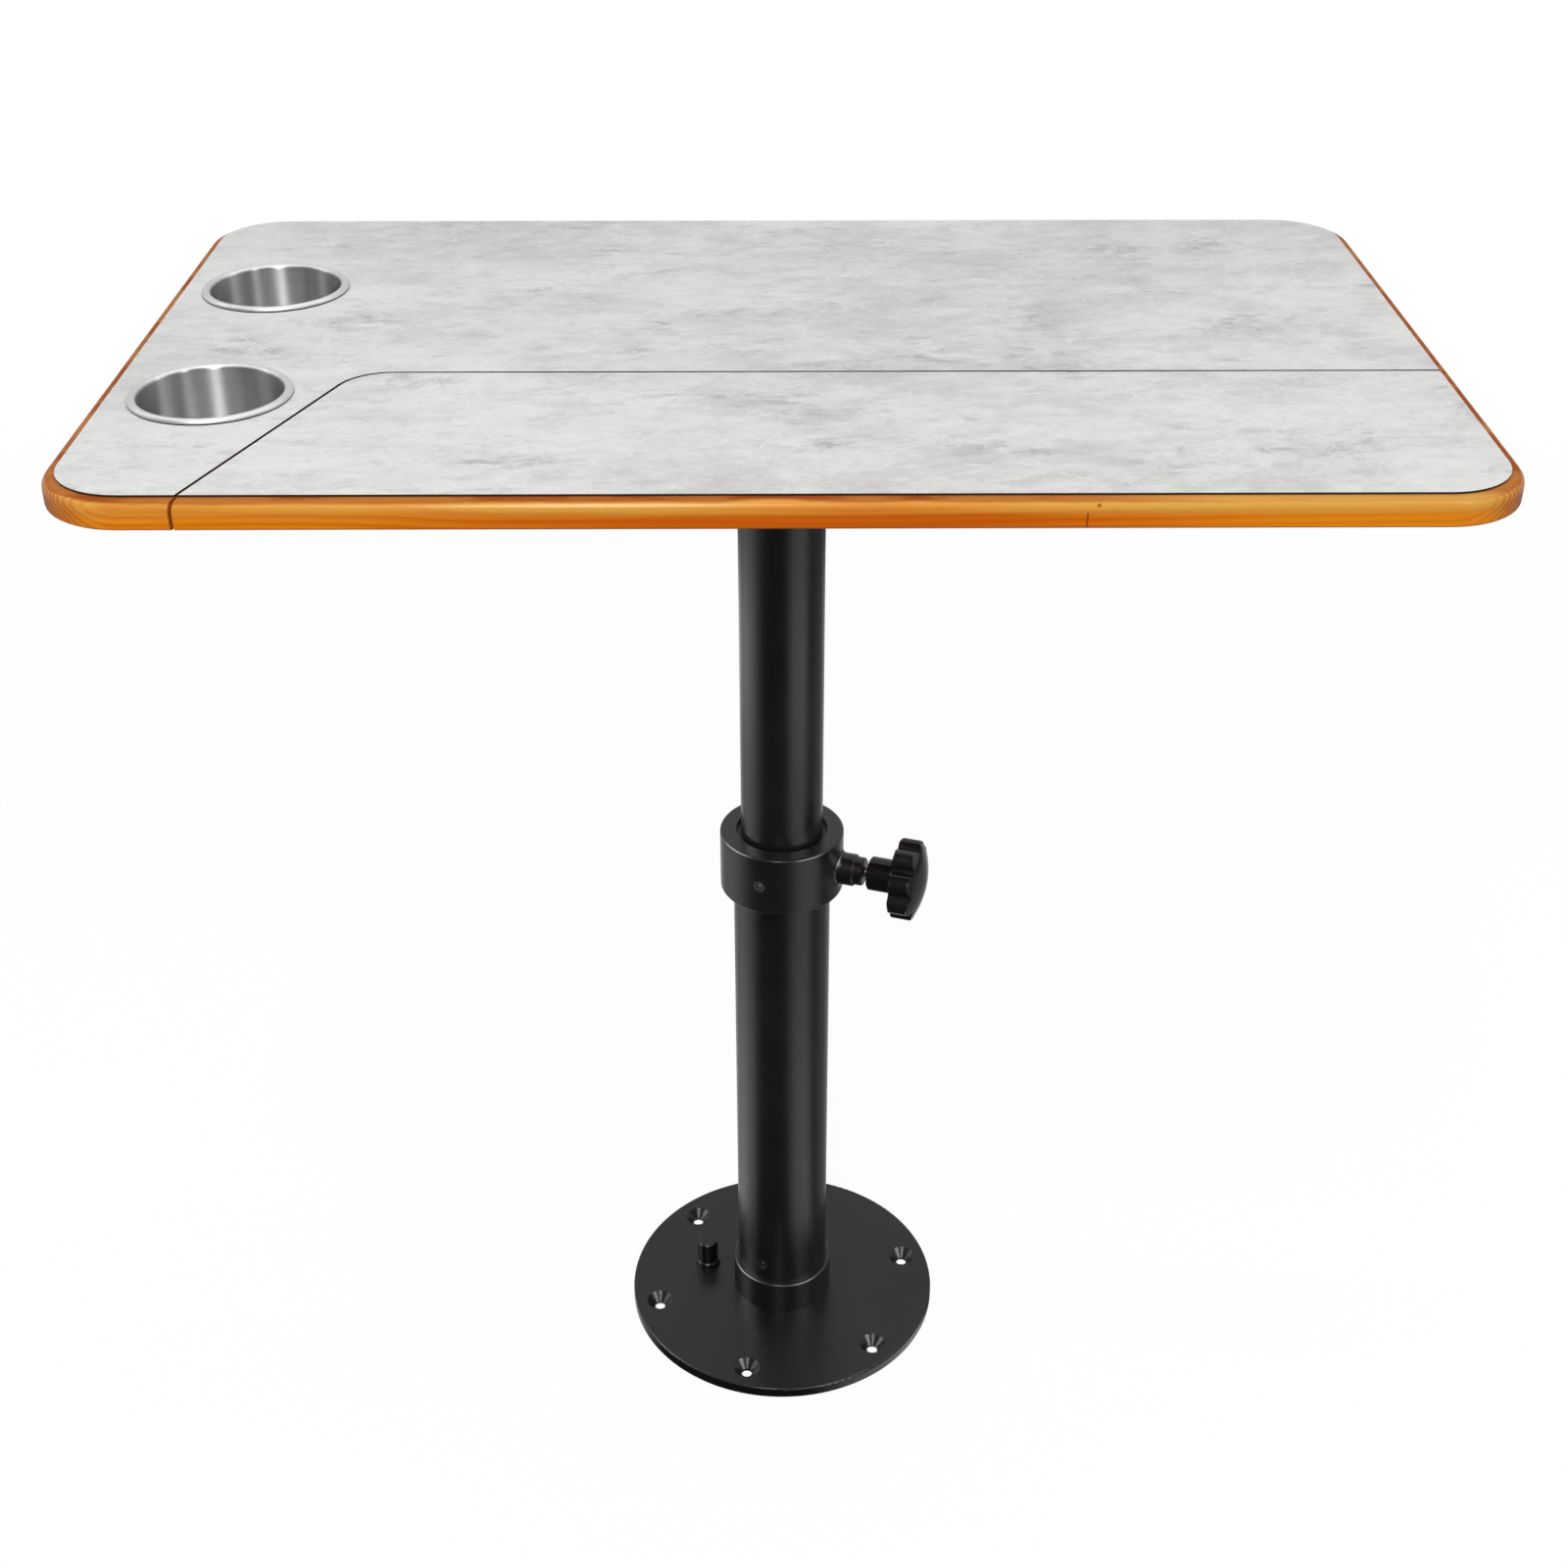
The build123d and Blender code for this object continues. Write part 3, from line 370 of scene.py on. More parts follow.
# The laminate's layers of noise. Each pair of numbers below is where a smooth step starts and ends.
STONE_DRIFT = Layer((5.0, 7.0, 0.0))
STONE_FRAY = Layer((42.0, 60.0, 0.0), detail=4.0, roughness=0.6)
STONE_SHEETS = Layer((15.0, 25.0, 0.0), detail=6.0, roughness=0.66)
STONE_PATCHES = Layer((15.0, 24.0, 0.0), (3.1, 7.7, 0.0), detail=6.0, roughness=0.64)
STONE_STREAKS = Layer((55.0, 120.0, 0.0), (1.7, 0.0, 0.0), detail=6.0, roughness=0.76)
STONE_RIDGES = Layer((14.0, 21.0, 0.0), (9.0, 1.0, 0.0), detail=3.0, roughness=0.55)
STONE_BROAD = Layer((3.0, 4.5, 0.0), (5.3, 2.1, 0.0))
STONE_GRIT = Layer((300.0, 420.0, 0.0), detail=3.0, roughness=0.65)
DRIFT_REACH = (0.06, 0.045, 0.0)
FRAY_REACH = (0.020, 0.011, 0.0)
SHEET_EDGES = ((0.17, (0.455, 0.490)), (0.17, (0.525, 0.560)), (0.14, (0.595, 0.650)))
STREAK_WEIGHT = 2.2
BROAD_WEIGHT, BROAD_LEVEL, BROAD_EDGE = 0.45, 0.20, (0.36, 0.64)
GREY_RANGE = (-0.30, 1.15)
PATCH_EDGE, PATCH_BREAKS = (0.52, 0.68), (0.36, 0.64)
VEIN_WIDTH, VEIN_BREAKS = (0.002, 0.013), (0.46, 0.58)
GRIT_EDGE, GRIT_DEPTH = (0.45, 0.80), 0.00002
STONE_ROUGH_SWING = 0.10
FACING_UP = (0.3, 0.7)


class CAMPER_OT_laminate(bpy.types.Operator):
    """Dress the laminate of both boards in the stone pattern."""

    bl_idname = "camper_table.dress_laminate"
    bl_label = "Dress laminate"

    def execute(self, context):
        chosen = context.scene.camper_laminate
        material, graph = new_graph("stone laminate")
        spot = graph.turned(graph.place(), -chosen.lean)
        flow = graph.stretch(graph.layer(spot, STONE_DRIFT, "Color"), DRIFT_REACH, spot)
        frayed = graph.stretch(graph.layer(spot, STONE_FRAY, "Color"), FRAY_REACH, flow)
        sheets = graph.layer(frayed, STONE_SHEETS)
        patches = graph.layer(frayed, STONE_PATCHES)
        streaks = graph.layer(frayed, STONE_STREAKS)
        ridges = graph.layer(frayed, STONE_RIDGES)
        broad = graph.layer(spot, STONE_BROAD)
        grit = graph.layer(spot, STONE_GRIT)

        # Overlapping sheets, broad clouds and fine streaks add up to the grey
        grey = streaks.swing(STREAK_WEIGHT)
        grey = grey + BROAD_WEIGHT * (graph.step(broad, *BROAD_EDGE) - BROAD_LEVEL)
        for weight, edge in SHEET_EDGES:
            grey = grey + weight * graph.step(sheets, *edge)
        cloudy = graph.step(grey, *GREY_RANGE)
        tone = graph.tint(cloudy, opaque(chosen.ground), opaque(chosen.cloud))

        # Dark patches broken up by streaks, thin pale veins and grit lie over it
        dark = graph.step(patches, *PATCH_EDGE) * graph.step(streaks, *PATCH_BREAKS)
        pale = 1.0 - graph.step(abs(ridges - 0.5), *VEIN_WIDTH)
        pale = pale * graph.step(streaks, *VEIN_BREAKS)
        specks = graph.step(grit, *GRIT_EDGE)
        tone = graph.tint(dark * chosen.shadow_share, tone, opaque(chosen.shadow))
        tone = graph.tint(pale * chosen.vein_share, tone, opaque(chosen.vein))
        tone = graph.tint(specks * chosen.grit_share, tone, opaque(chosen.shadow))

        # The cut edge shows the core
        facing_up = graph.step(graph.axis(graph.place("Normal"), 2), *FACING_UP)
        graph.finish(graph.principled({
            "Base Color": graph.tint(facing_up, opaque(chosen.core), tone),
            "Roughness": chosen.roughness + streaks.swing(STONE_ROUGH_SWING),
            "Specular IOR Level": 0.40,
            "Normal": graph.bump(grit, GRIT_DEPTH),
        }))
        dress("laminate", material)
        return {"FINISHED"}


# The pine's layers of noise, and how far two of them move the rings, in metres
PINE_SWAY, SWAY_REACH = Layer((2.6, 12.0, 12.0)), 0.010
PINE_WAVE, WAVE_REACH = Layer((14.0, 70.0, 70.0)), 0.0016
PINE_STREAKS = Layer((5.0, 190.0, 190.0), detail=4.0, roughness=0.6)
PINE_FIBRES = Layer((30.0, 1300.0, 1300.0), detail=3.0, roughness=0.6)
PINE_MOTTLE = Layer((22.0, 45.0, 45.0), (4.0, 0.0, 0.0), detail=3.0)
LATE_START, LATE_END = (0.25, 0.85), (0.88, 1.0)

# Shares of the pine's tones and finish. One below zero takes away.
RING_SHADE, STREAK_SHADE, FIBRE_SHADE, EVEN_SHADE = 0.42, 1.1, 0.45, 0.22
END_GRAIN, END_STAIN, END_LATE_STAIN = (0.25, 0.85), 0.28, 0.60
# Shares of the painted highlight on the round-over, where light falls from above
SHEEN_EVEN, SHEEN_ON_DARK, SHEEN_ON_RIGHT, SHEEN_ON_ENDS = 0.85, -0.40, 0.20, -0.7
PINE_ROUGH_SWING, GATHERED_ROUGHNESS, GATHERED_COAT = 0.14, 0.25, -0.9
FIBRE_RELIEF, LATE_RELIEF, GRAIN_DEPTH = 0.5, 0.5, 0.00006
VARNISH_TINT = (1.0, 0.55, 0.15, 1.0)

# Where the pine changes, in metres from its front, its joint, its top, its middle and its foot
FRONT_DEPTH = (0.004, 0.012)
RIGHT_START, RIGHT_PALENESS = (-0.010, 0.070), 0.45
# Depth of the round-over that gets the painted highlight
TOPLIT_DEPTH, TOPLIT_WANDER = (0.0022, 0.0088), 0.007
MIDDLE_X, MIDDLE_REACH, MIDDLE_WANDER, MIDDLE_SHARE = 0.01, (0.05, 0.24), 0.05, 0.75
GATHER_DEPTH, GATHER_STREAKS, GATHER_WANDER = (0.0006, 0.0017), 0.0010, 0.0024
GATHER_PATCHES, GATHER_EVEN, GATHER_PATCHY = (0.42, 0.60), 0.70, 0.30
GATHER_ON_RIGHT, GATHER_SHARE = -0.60, 0.92
# Height and share of the painted shade line along the lower edge, which faces down away from the light
SHADE_LINE_HEIGHT, SHADE_LINE_SHARE = (0.0002, 0.0013), 0.7
JOINT_WIDTH, JOINT_WANDER, JOINT_TOP = (0.0001, 0.0006), 0.0016, (0.0050, 0.0060)
KNOT_X, KNOT_BELOW = 0.0046, 0.0024
KNOT_WIDTH, KNOT_HEIGHT, KNOT_EDGE = 0.0011, 0.0007, (0.3, 1.0)
MARK_SHARE = 0.85


class CAMPER_OT_pine(bpy.types.Operator):
    """Dress both boards in varnished pine, with year rings round a heart that runs along the table."""

    bl_idname = "camper_table.dress_pine"
    bl_label = "Dress pine"

    def execute(self, context):
        chosen = context.scene.camper_pine
        material, graph = new_graph("varnished pine")
        spot = graph.place()
        along, across, height = (graph.axis(spot, index) for index in range(3))
        below = WOOD_TOP - height
        from_joint = along - chosen.joint_x
        streaks = graph.layer(spot, PINE_STREAKS)
        fibres = graph.layer(spot, PINE_FIBRES)
        mottle = graph.layer(spot, PINE_MOTTLE)

        # Year rings round the heart
        out_y = across - chosen.heart[1]
        out_z = height - chosen.heart[2]
        sway = graph.layer(spot, PINE_SWAY).swing(SWAY_REACH)
        wave = graph.layer(spot, PINE_WAVE).swing(WAVE_REACH)
        radius = (out_y * out_y + out_z * out_z) ** 0.5 + sway + wave
        turn = (radius / chosen.ring).fraction()
        late = graph.step(turn, *LATE_START) * (1.0 - graph.step(turn, *LATE_END))
        shade = RING_SHADE * late + streaks.swing(STREAK_SHADE)
        shade = shade + fibres.swing(FIBRE_SHADE) + EVEN_SHADE
        tone = graph.tint(shade, opaque(chosen.early), opaque(chosen.late))

        # The right piece of the front edge is paler, the round-over gets a painted highlight where light
        # falls on it from above, and the middle is darker
        at_front = 1.0 - graph.step(across - WOOD_FRONT, *FRONT_DEPTH)
        right_piece = graph.step(from_joint, *RIGHT_START) * at_front
        ends = graph.step(abs(graph.axis(graph.place("Normal"), 0)), *END_GRAIN)
        toplit = 1.0 - graph.step(below + streaks.swing(TOPLIT_WANDER), *TOPLIT_DEPTH)
        sheen_share = SHEEN_EVEN + SHEEN_ON_DARK * shade + SHEEN_ON_RIGHT * right_piece
        sheen_share = sheen_share * (1.0 + SHEEN_ON_ENDS * ends)
        from_middle = abs(along - MIDDLE_X) + mottle.swing(MIDDLE_WANDER)
        middle = (1.0 - graph.step(from_middle, *MIDDLE_REACH)) * (1.0 - toplit)
        tone = graph.tint(right_piece * RIGHT_PALENESS, tone, opaque(chosen.early))
        tone = graph.tint(toplit * sheen_share, tone, opaque(chosen.wear_and_sheen))
        tone = graph.tint(middle * MIDDLE_SHARE, tone, opaque(chosen.late))

        # Varnish gathers under the laminate and on the cut ends
        ragged = below + streaks.swing(GATHER_STREAKS) + mottle.swing(GATHER_WANDER)
        gathered = 1.0 - graph.step(ragged, *GATHER_DEPTH)
        gathered = gathered * (GATHER_EVEN + GATHER_PATCHY * graph.step(mottle, *GATHER_PATCHES))
        gathered = gathered * (1.0 + GATHER_ON_RIGHT * right_piece)
        tone = graph.tint(gathered * GATHER_SHARE, tone, opaque(chosen.stain_and_shade))
        tone = graph.tint(ends * (END_STAIN + END_LATE_STAIN * late), tone, opaque(chosen.stain_and_shade))

        # The butt joint of the front edge, a small knot beside it, and painted shade along the lower
        # edge
        crack = 1.0 - graph.step(abs(from_joint + mottle.swing(JOINT_WANDER)), *JOINT_WIDTH)
        crack = crack * graph.step(below, *JOINT_TOP)
        knot_x = (from_joint - KNOT_X) / KNOT_WIDTH
        knot_z = (below - KNOT_BELOW) / KNOT_HEIGHT
        knot = 1.0 - graph.step(knot_x * knot_x + knot_z * knot_z, *KNOT_EDGE)
        marks = crack.larger(knot) * at_front
        # Painted shade: a dark line along the bottom of the edge
        foot = 1.0 - graph.step(height - WOOD_BOTTOM, *SHADE_LINE_HEIGHT)
        tone = graph.tint(marks * MARK_SHARE, tone, opaque(chosen.stain_and_shade))
        rough = chosen.roughness + fibres.swing(PINE_ROUGH_SWING) + GATHERED_ROUGHNESS * gathered
        relief = fibres * FIBRE_RELIEF + late * LATE_RELIEF - marks
        graph.finish(graph.principled({
            "Base Color": graph.tint(foot * SHADE_LINE_SHARE, tone, opaque(chosen.stain_and_shade)),
            "Roughness": rough,
            "Specular IOR Level": 0.2,
            "Specular Tint": VARNISH_TINT,
            "Coat Weight": chosen.coat * (1.0 + GATHERED_COAT * gathered),
            "Coat Roughness": chosen.coat_roughness,
            "Normal": graph.bump(relief, GRAIN_DEPTH),
        }))
        dress("pine", material)
        return {"FINISHED"}


# The cup holders' brush lines to the metre, their smudges, the painted shadow line at a rim's foot, and
# the heights and radii of their rims
CUP_LINES, CUP_LINE_BREAKS = 2600.0, (9.0, 9.0, 0.0)
CUP_LINE_EDGE, CUP_LINE_SHARE, CUP_LINE_DEPTH = (0.35, 0.75), 0.4, 0.000005
CUP_SMUDGE = Layer((60.0, 60.0, 90.0), detail=3.0)
WALL_LINE_SWING, WALL_SMUDGE_SWING, RIM_SMUDGE_SWING = 0.12, 0.06, 0.10
CUP_SHADOW_GAP = (TOP_FACE + 0.0003, TOP_FACE + 0.0009)
CUP_RIM_FOOT = (TOP_FACE - 0.001, TOP_FACE)
CUP_RIM_START = (CUP_MOUTH, CUP_MOUTH + 0.0008)


class CAMPER_OT_cups(bpy.types.Operator):
    """Dress each cup holder in steel that is brushed round its own axis, with a satin rim."""

    bl_idname = "camper_table.dress_cups"
    bl_label = "Dress cup holders"

    def execute(self, context):
        chosen = context.scene.camper_metal
        for node in SLOT_NODES["stainless"]:
            low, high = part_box(node.name)
            material, graph = new_graph("brushed steel " + node.name)
            middle = (-0.5 * (low[0] + high[0]), -0.5 * (low[1] + high[1]), 0.0)
            spot = graph.stretch(graph.place(), (1.0, 1.0, 1.0), middle)
            across, along, height = (graph.axis(spot, index) for index in range(3))
            radius = (across * across + along * along) ** 0.5
            lines = {0: radius * CUP_LINES, 1: 0.0, 2: height * CUP_LINES}
            rings = graph.node("ShaderNodeCombineXYZ", sockets=lines)
            brushed = graph.stretch(spot, CUP_LINE_BREAKS, rings)
            brush = graph.noise(brushed, detail=4.0, roughness=0.7)
            smudge = graph.layer(spot, CUP_SMUDGE)
            relief = graph.bump(brush, CUP_LINE_DEPTH)
            dull = graph.step(brush, *CUP_LINE_EDGE) * CUP_LINE_SHARE
            rough = chosen.steel_roughness + brush.swing(WALL_LINE_SWING)
            wall = graph.principled({
                "Base Color": graph.tint(dull, opaque(chosen.steel), opaque(chosen.steel_dull)),
                "Metallic": 1.0,
                "Roughness": rough + smudge.swing(WALL_SMUDGE_SWING),
                "Anisotropic": 0.95,
                "Anisotropic Rotation": 0.25,
                "Normal": relief,
            })
            # Painted shadow: a thin dark line where the rim meets the laminate
            painted_gap_shadow = 1.0 - graph.step(height, *CUP_SHADOW_GAP)
            rim = graph.principled({
                "Base Color": graph.tint(painted_gap_shadow, opaque(chosen.rim), opaque(chosen.black)),
                "Metallic": 1.0,
                "Roughness": chosen.rim_roughness + smudge.swing(RIM_SMUDGE_SWING),
                "Normal": relief,
            })
            outer = graph.step(radius, *CUP_RIM_START) * graph.step(height, *CUP_RIM_FOOT)
            graph.finish(graph.mixed(outer, wall, rim))
            node.material_slots[0].material = material
        return {"FINISHED"}


# The powder coat's peel and clouds, and their swings of the roughness
COAT_PEEL, COAT_PEEL_DEPTH, COAT_PEEL_SWING = Layer((700.0, 700.0, 700.0)), 0.000012, 0.04
COAT_CLOUD, COAT_CLOUD_SWING = Layer((26.0, 26.0, 26.0), detail=4.0, roughness=0.6), 0.08
COAT_WORN = (0.3, 0.8)


class CAMPER_OT_pole(bpy.types.Operator):
    """Dress the pole, its plate, its collar and the flange in satin black powder coat."""

    bl_idname = "camper_table.dress_pole"
    bl_label = "Dress pole"

    def execute(self, context):
        chosen = context.scene.camper_metal
        material, graph = new_graph("satin black coat")
        spot = graph.place()
        peel = graph.layer(spot, COAT_PEEL)
        cloud = graph.layer(spot, COAT_CLOUD)
        wear_and_sheen = graph.step(cloud, *COAT_WORN)
        rough = chosen.black_roughness + cloud.swing(COAT_CLOUD_SWING)
        graph.finish(graph.principled({
            "Base Color": graph.tint(wear_and_sheen, opaque(chosen.black), opaque(chosen.black_worn)),
            "Roughness": rough + peel.swing(COAT_PEEL_SWING),
            "Specular IOR Level": 0.50,
            "Normal": graph.bump(peel, COAT_PEEL_DEPTH),
        }))
        dress("black_steel", material)
        return {"FINISHED"}


# The plastics' grain and wear, and their swings of the roughness
KNOB_GRAIN, KNOB_GRAIN_DEPTH = Layer((420.0, 420.0, 420.0)), 0.000008
KNOB_WEAR, KNOB_WEAR_SWING, KNOB_WORN = Layer((90.0, 90.0, 90.0), detail=4.0), 0.10, (0.4, 0.8)
NYLON_GRAIN, NYLON_GRAIN_SWING = Layer((300.0, 300.0, 300.0), detail=3.0), 0.15
NYLON_GRAIN_DEPTH = 0.00001


class CAMPER_OT_plastics(bpy.types.Operator):
    """Dress the star knob in glossy moulded plastic, and the bushes in plain nylon."""

    bl_idname = "camper_table.dress_plastics"
    bl_label = "Dress plastics"

    def execute(self, context):
        chosen = context.scene.camper_metal
        material, graph = new_graph("moulded black plastic")
        spot = graph.place()
        grain = graph.layer(spot, KNOB_GRAIN)
        wear = graph.layer(spot, KNOB_WEAR)
        wear_and_sheen = graph.step(wear, *KNOB_WORN)
        graph.finish(graph.principled({
            "Base Color": graph.tint(wear_and_sheen, opaque(chosen.knob), opaque(chosen.knob_worn)),
            "Roughness": chosen.knob_roughness + wear.swing(KNOB_WEAR_SWING),
            "Specular IOR Level": 0.40,
            "Normal": graph.bump(grain, KNOB_GRAIN_DEPTH),
        }))
        dress("black_plastic", material)

        material, graph = new_graph("black nylon")
        grain = graph.layer(graph.place(), NYLON_GRAIN)
        graph.finish(graph.principled({
            "Base Color": graph.tint(grain, opaque(chosen.nylon), opaque(chosen.nylon_pale)),
            "Roughness": chosen.nylon_roughness + grain.swing(NYLON_GRAIN_SWING),
            "Normal": graph.bump(grain, NYLON_GRAIN_DEPTH),
        }))
        dress("guide_plastic", material)
        return {"FINISHED"}


# The plated metals' clouds and scratches, and their swings of the roughness
PLATE_CLOUD, PLATE_CLOUD_SWING = Layer((70.0, 70.0, 70.0), detail=4.0, roughness=0.6), 0.16
PLATE_SCRATCH, PLATE_SCRATCH_SWING = Layer((120.0, 1500.0, 1500.0)), 0.08
PLATE_DULL, PLATE_SCRATCH_DEPTH = (0.35, 0.75), 0.000006


def plated(name, bright, dull, roughness):
    """A plated metal: cloudy, lightly scratched, with its duller tone in the clouds."""
    material, graph = new_graph(name)
    spot = graph.place()
    cloud = graph.layer(spot, PLATE_CLOUD)
    scratch = graph.layer(spot, PLATE_SCRATCH)
    graph.finish(graph.principled({
        "Base Color": graph.tint(graph.step(cloud, *PLATE_DULL), opaque(bright), opaque(dull)),
        "Metallic": 1.0,
        "Roughness": roughness + cloud.swing(PLATE_CLOUD_SWING) + scratch.swing(PLATE_SCRATCH_SWING),
        "Normal": graph.bump(scratch, PLATE_SCRATCH_DEPTH),
    }))
    return material


class CAMPER_OT_hardware(bpy.types.Operator):
    """Dress the hinges, stays, screws, clamp screw and pad in their plated metals."""

    bl_idname = "camper_table.dress_hardware"
    bl_label = "Dress hardware"

    def execute(self, context):
        chosen = context.scene.camper_metal
        dress("zinc_steel", plated("zinc plate", chosen.zinc, chosen.zinc_dull, roughness=0.30))
        dress("set_screw_steel", plated("black oxide", chosen.oxide, chosen.oxide_dull, roughness=0.34))
        dress("spring_steel", plated("spring steel", chosen.spring, chosen.spring_dull, roughness=0.32))
        dress("pad_brass", plated("pad brass", chosen.brass, chosen.brass_dull, roughness=0.28))
        return {"FINISHED"}


def node_corners(name):
    """The vertices of a node, one row each."""
    mesh = frame["nodes"][name].data
    corners = np.empty(3 * len(mesh.vertices))
    mesh.vertices.foreach_get("co", corners)
    return corners.reshape(-1, 3)


def add_piece(name, shells, columns, body, slot, replaced):
    """A piece of one or more closed surfaces on a body.

    Each surface is a list of points: one pole, a grid with rows along it and columns round it, and the
    other pole. Four-sided faces join the grid, and three-sided ones close it at both poles.
    """
    count, size, _ = shells.shape
    turn = np.arange(columns)
    grid = 1 + np.arange((size - 2) // columns)[:, None] * columns
    here, beside = grid + turn, grid + (turn + 1) % columns
    sides = np.stack([here[:-1], beside[:-1], beside[1:], here[1:]], axis=-1).reshape(-1, 4)
    start = np.stack([np.zeros_like(turn), beside[0], here[0]], axis=-1)
    end = np.stack([np.full_like(turn, size - 1), here[-1], beside[-1]], axis=-1)
    shift = size * np.arange(count)[:, None, None]
    faces = (sides + shift).reshape(-1, 4).tolist()
    faces += (np.concatenate([start, end]) + shift).reshape(-1, 3).tolist()
    mesh = bpy.data.meshes.new(name)
    mesh.from_pydata(shells.reshape(-1, 3).tolist(), [], faces)
    mesh.polygons.foreach_set("use_smooth", np.ones(len(faces), dtype=bool))
    mesh.set_sharp_from_angle(angle=SHARP_EDGE)
    piece = bpy.data.objects.new(name, mesh)
    bpy.context.scene.collection.objects.link(piece)
    mesh.materials.append(SLOT_NODES[slot][0].material_slots[0].material)
    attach(piece, body)
    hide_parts(replaced)


# The thread's rows to a turn, the slope and the flat crest of its wave, and the share of its radius
# that finds its shoulder
THREAD_ROWS, THREAD_SLOPE, THREAD_CREST = 8, 2.4, 0.1
SHOULDER_SHARE = 0.9


def thread_points(axis, foot, lengths, radii, chosen):
    """The clamp screw: a plain tip, and a right-hand thread from its shoulder to its end.

    A point's turn is its length over the pitch, less its angle over a full turn. The wave is the
    distance of that turn from the nearest whole number, times a slope, less a flat crest, kept between
    0 and 1. The radius is the plain radius less the thread's depth times the wave, which fades out at
    both ends of the thread and leaves the tip plain.
    """
    start, shoulder, end = lengths
    tip, outer = radii
    steps = int(round((end - shoulder) / chosen.thread_pitch * THREAD_ROWS))
    reach = np.concatenate([[start, shoulder], np.linspace(shoulder, end, steps)])
    plain = np.concatenate([np.full(2, tip), np.full(steps, outer)])
    fade = np.clip(np.minimum(reach - shoulder, end - reach) / chosen.thread_pitch, 0.0, 1.0)
    around = np.linspace(0.0, 2.0 * np.pi, chosen.thread_columns, endpoint=False)
    turn = reach[:, None] / chosen.thread_pitch - around / (2.0 * np.pi)
    wave = np.clip(THREAD_SLOPE * np.abs(turn - np.round(turn)) - THREAD_CREST, 0.0, 1.0)
    radius = plain[:, None] - chosen.thread_depth * wave * fade[:, None]
    side = np.cross(axis, (0.0, 0.0, 1.0))
    side /= np.linalg.norm(side)
    ring = np.cos(around)[:, None] * side + np.sin(around)[:, None] * np.cross(axis, side)
    grid = reach[:, None, None] * axis + radius[:, :, None] * ring
    poles = np.outer((start, end), axis)
    return foot + np.concatenate([poles[:1], grid.reshape(-1, 3), poles[1:]])


class CAMPER_OT_thread(bpy.types.Operator):
    """Cut the thread of the clamp screw."""

    bl_idname = "camper_table.cut_thread"
    bl_label = "Cut thread"

    def execute(self, context):
        chosen = context.scene.camper_screws
        axis = np.array(JOINTS["knob_turn"]["axis"])
        foot = np.array(JOINTS["knob_turn"]["pos_m"])
        corners = node_corners("clamp_stud") - foot
        reach = corners @ axis
        spread = np.linalg.norm(corners - np.outer(reach, axis), axis=1)
        shoulder = reach[spread > SHOULDER_SHARE * spread.max()].min()
        lengths = (reach.min(), shoulder, reach.max())
        radii = (spread[reach < reach.min() + NEAR].max(), spread.max())
        shells = thread_points(axis, foot, lengths, radii, chosen)[None]
        columns = chosen.thread_columns
        add_piece("clamp_screw_thread", shells, columns, "knob", "zinc_steel", "clamp_stud")
        return {"FINISHED"}


# Shares of a wood screw's head: the rings of its face, the slope of its recess, and a rise past its
# taper. The neck's share of the shank's radius finds where the point starts.
FACE_RINGS = np.append(np.linspace(0.05, 0.70, 14), 1.0)
RECESS_SLOPE, SHANK_RISE, NECK_SHARE = 0.10, 0.6, 0.99


def screw_points(centres, face, radii, rises, chosen):
    """Wood screws that stand on their heads, each from the middle of its face up to its point.

    The face sinks by the recess's depth where a point lies in one of two bars that cross at right
    angles. The bars' walls slope, and a slope ends them at their reach. Then the head tapers to the
    shank, and the shank ends in a cone. Each screw is turned by the golden angle from the one before.
    """
    head, shank = radii
    neck, tip = rises
    count = len(centres)
    around = np.linspace(0.0, 2.0 * np.pi, chosen.screw_columns, endpoint=False)
    flat = head * FACE_RINGS[:, None]
    slope = RECESS_SLOPE * head
    arms = np.minimum(np.abs(flat * np.cos(around)), np.abs(flat * np.sin(around)))
    sunk = np.clip((chosen.cross_width * head - arms) / slope + 0.5, 0.0, 1.0)
    sunk *= np.clip((chosen.cross_reach * head - flat) / slope + 0.5, 0.0, 1.0)
    depth = chosen.cross_depth * head
    even = np.ones_like(around)
    radius = np.concatenate([flat * even, np.outer((shank, shank), even)])
    rise = np.concatenate([depth * sunk, np.outer((head - shank, neck), even)])
    turned = around + GOLDEN_ANGLE * np.arange(count)[:, None, None]
    grid = np.stack([radius * np.cos(turned), radius * np.sin(turned), rise + 0.0 * turned], axis=-1)
    low = np.tile((0.0, 0.0, depth), (count, 1, 1))
    high = np.tile((0.0, 0.0, tip), (count, 1, 1))
    shells = np.concatenate([low, grid.reshape(count, -1, 3), high], axis=1)
    return shells + np.column_stack([centres, np.full(count, face)])[:, None, :]


class CAMPER_OT_screws(bpy.types.Operator):
    """Cut a cross recess into the heads of the wood screws under the top."""

    bl_idname = "camper_table.cut_screws"
    bl_label = "Cut screws"

    def execute(self, context):
        chosen = context.scene.camper_screws
        for name, body in SCREW_BODIES.items():
            corners = node_corners(name)
            face = corners[:, 2].min()
            rise = corners[:, 2] - face
            centres = np.unique(np.round(corners[rise > rise.max() - NEAR, :2], 6), axis=0)
            spread = np.linalg.norm(corners[:, None, :2] - centres, axis=2).min(axis=1)
            head = spread.max()
            shank = spread[rise > SHANK_RISE * head].max()
            neck = rise[spread > NECK_SHARE * shank].max()
            shells = screw_points(centres, face, (head, shank), (neck, rise.max()), chosen)
            add_piece("cross_" + name, shells, chosen.screw_columns, body, "zinc_steel", name)
        return {"FINISHED"}


class Lamp(NamedTuple):
    """A rectangular softbox, in metres and watts, and the pieces that it is kept to, if any."""

    name: str
    place: tuple
    target: tuple
    size: tuple
    power: float
    only: tuple = ()


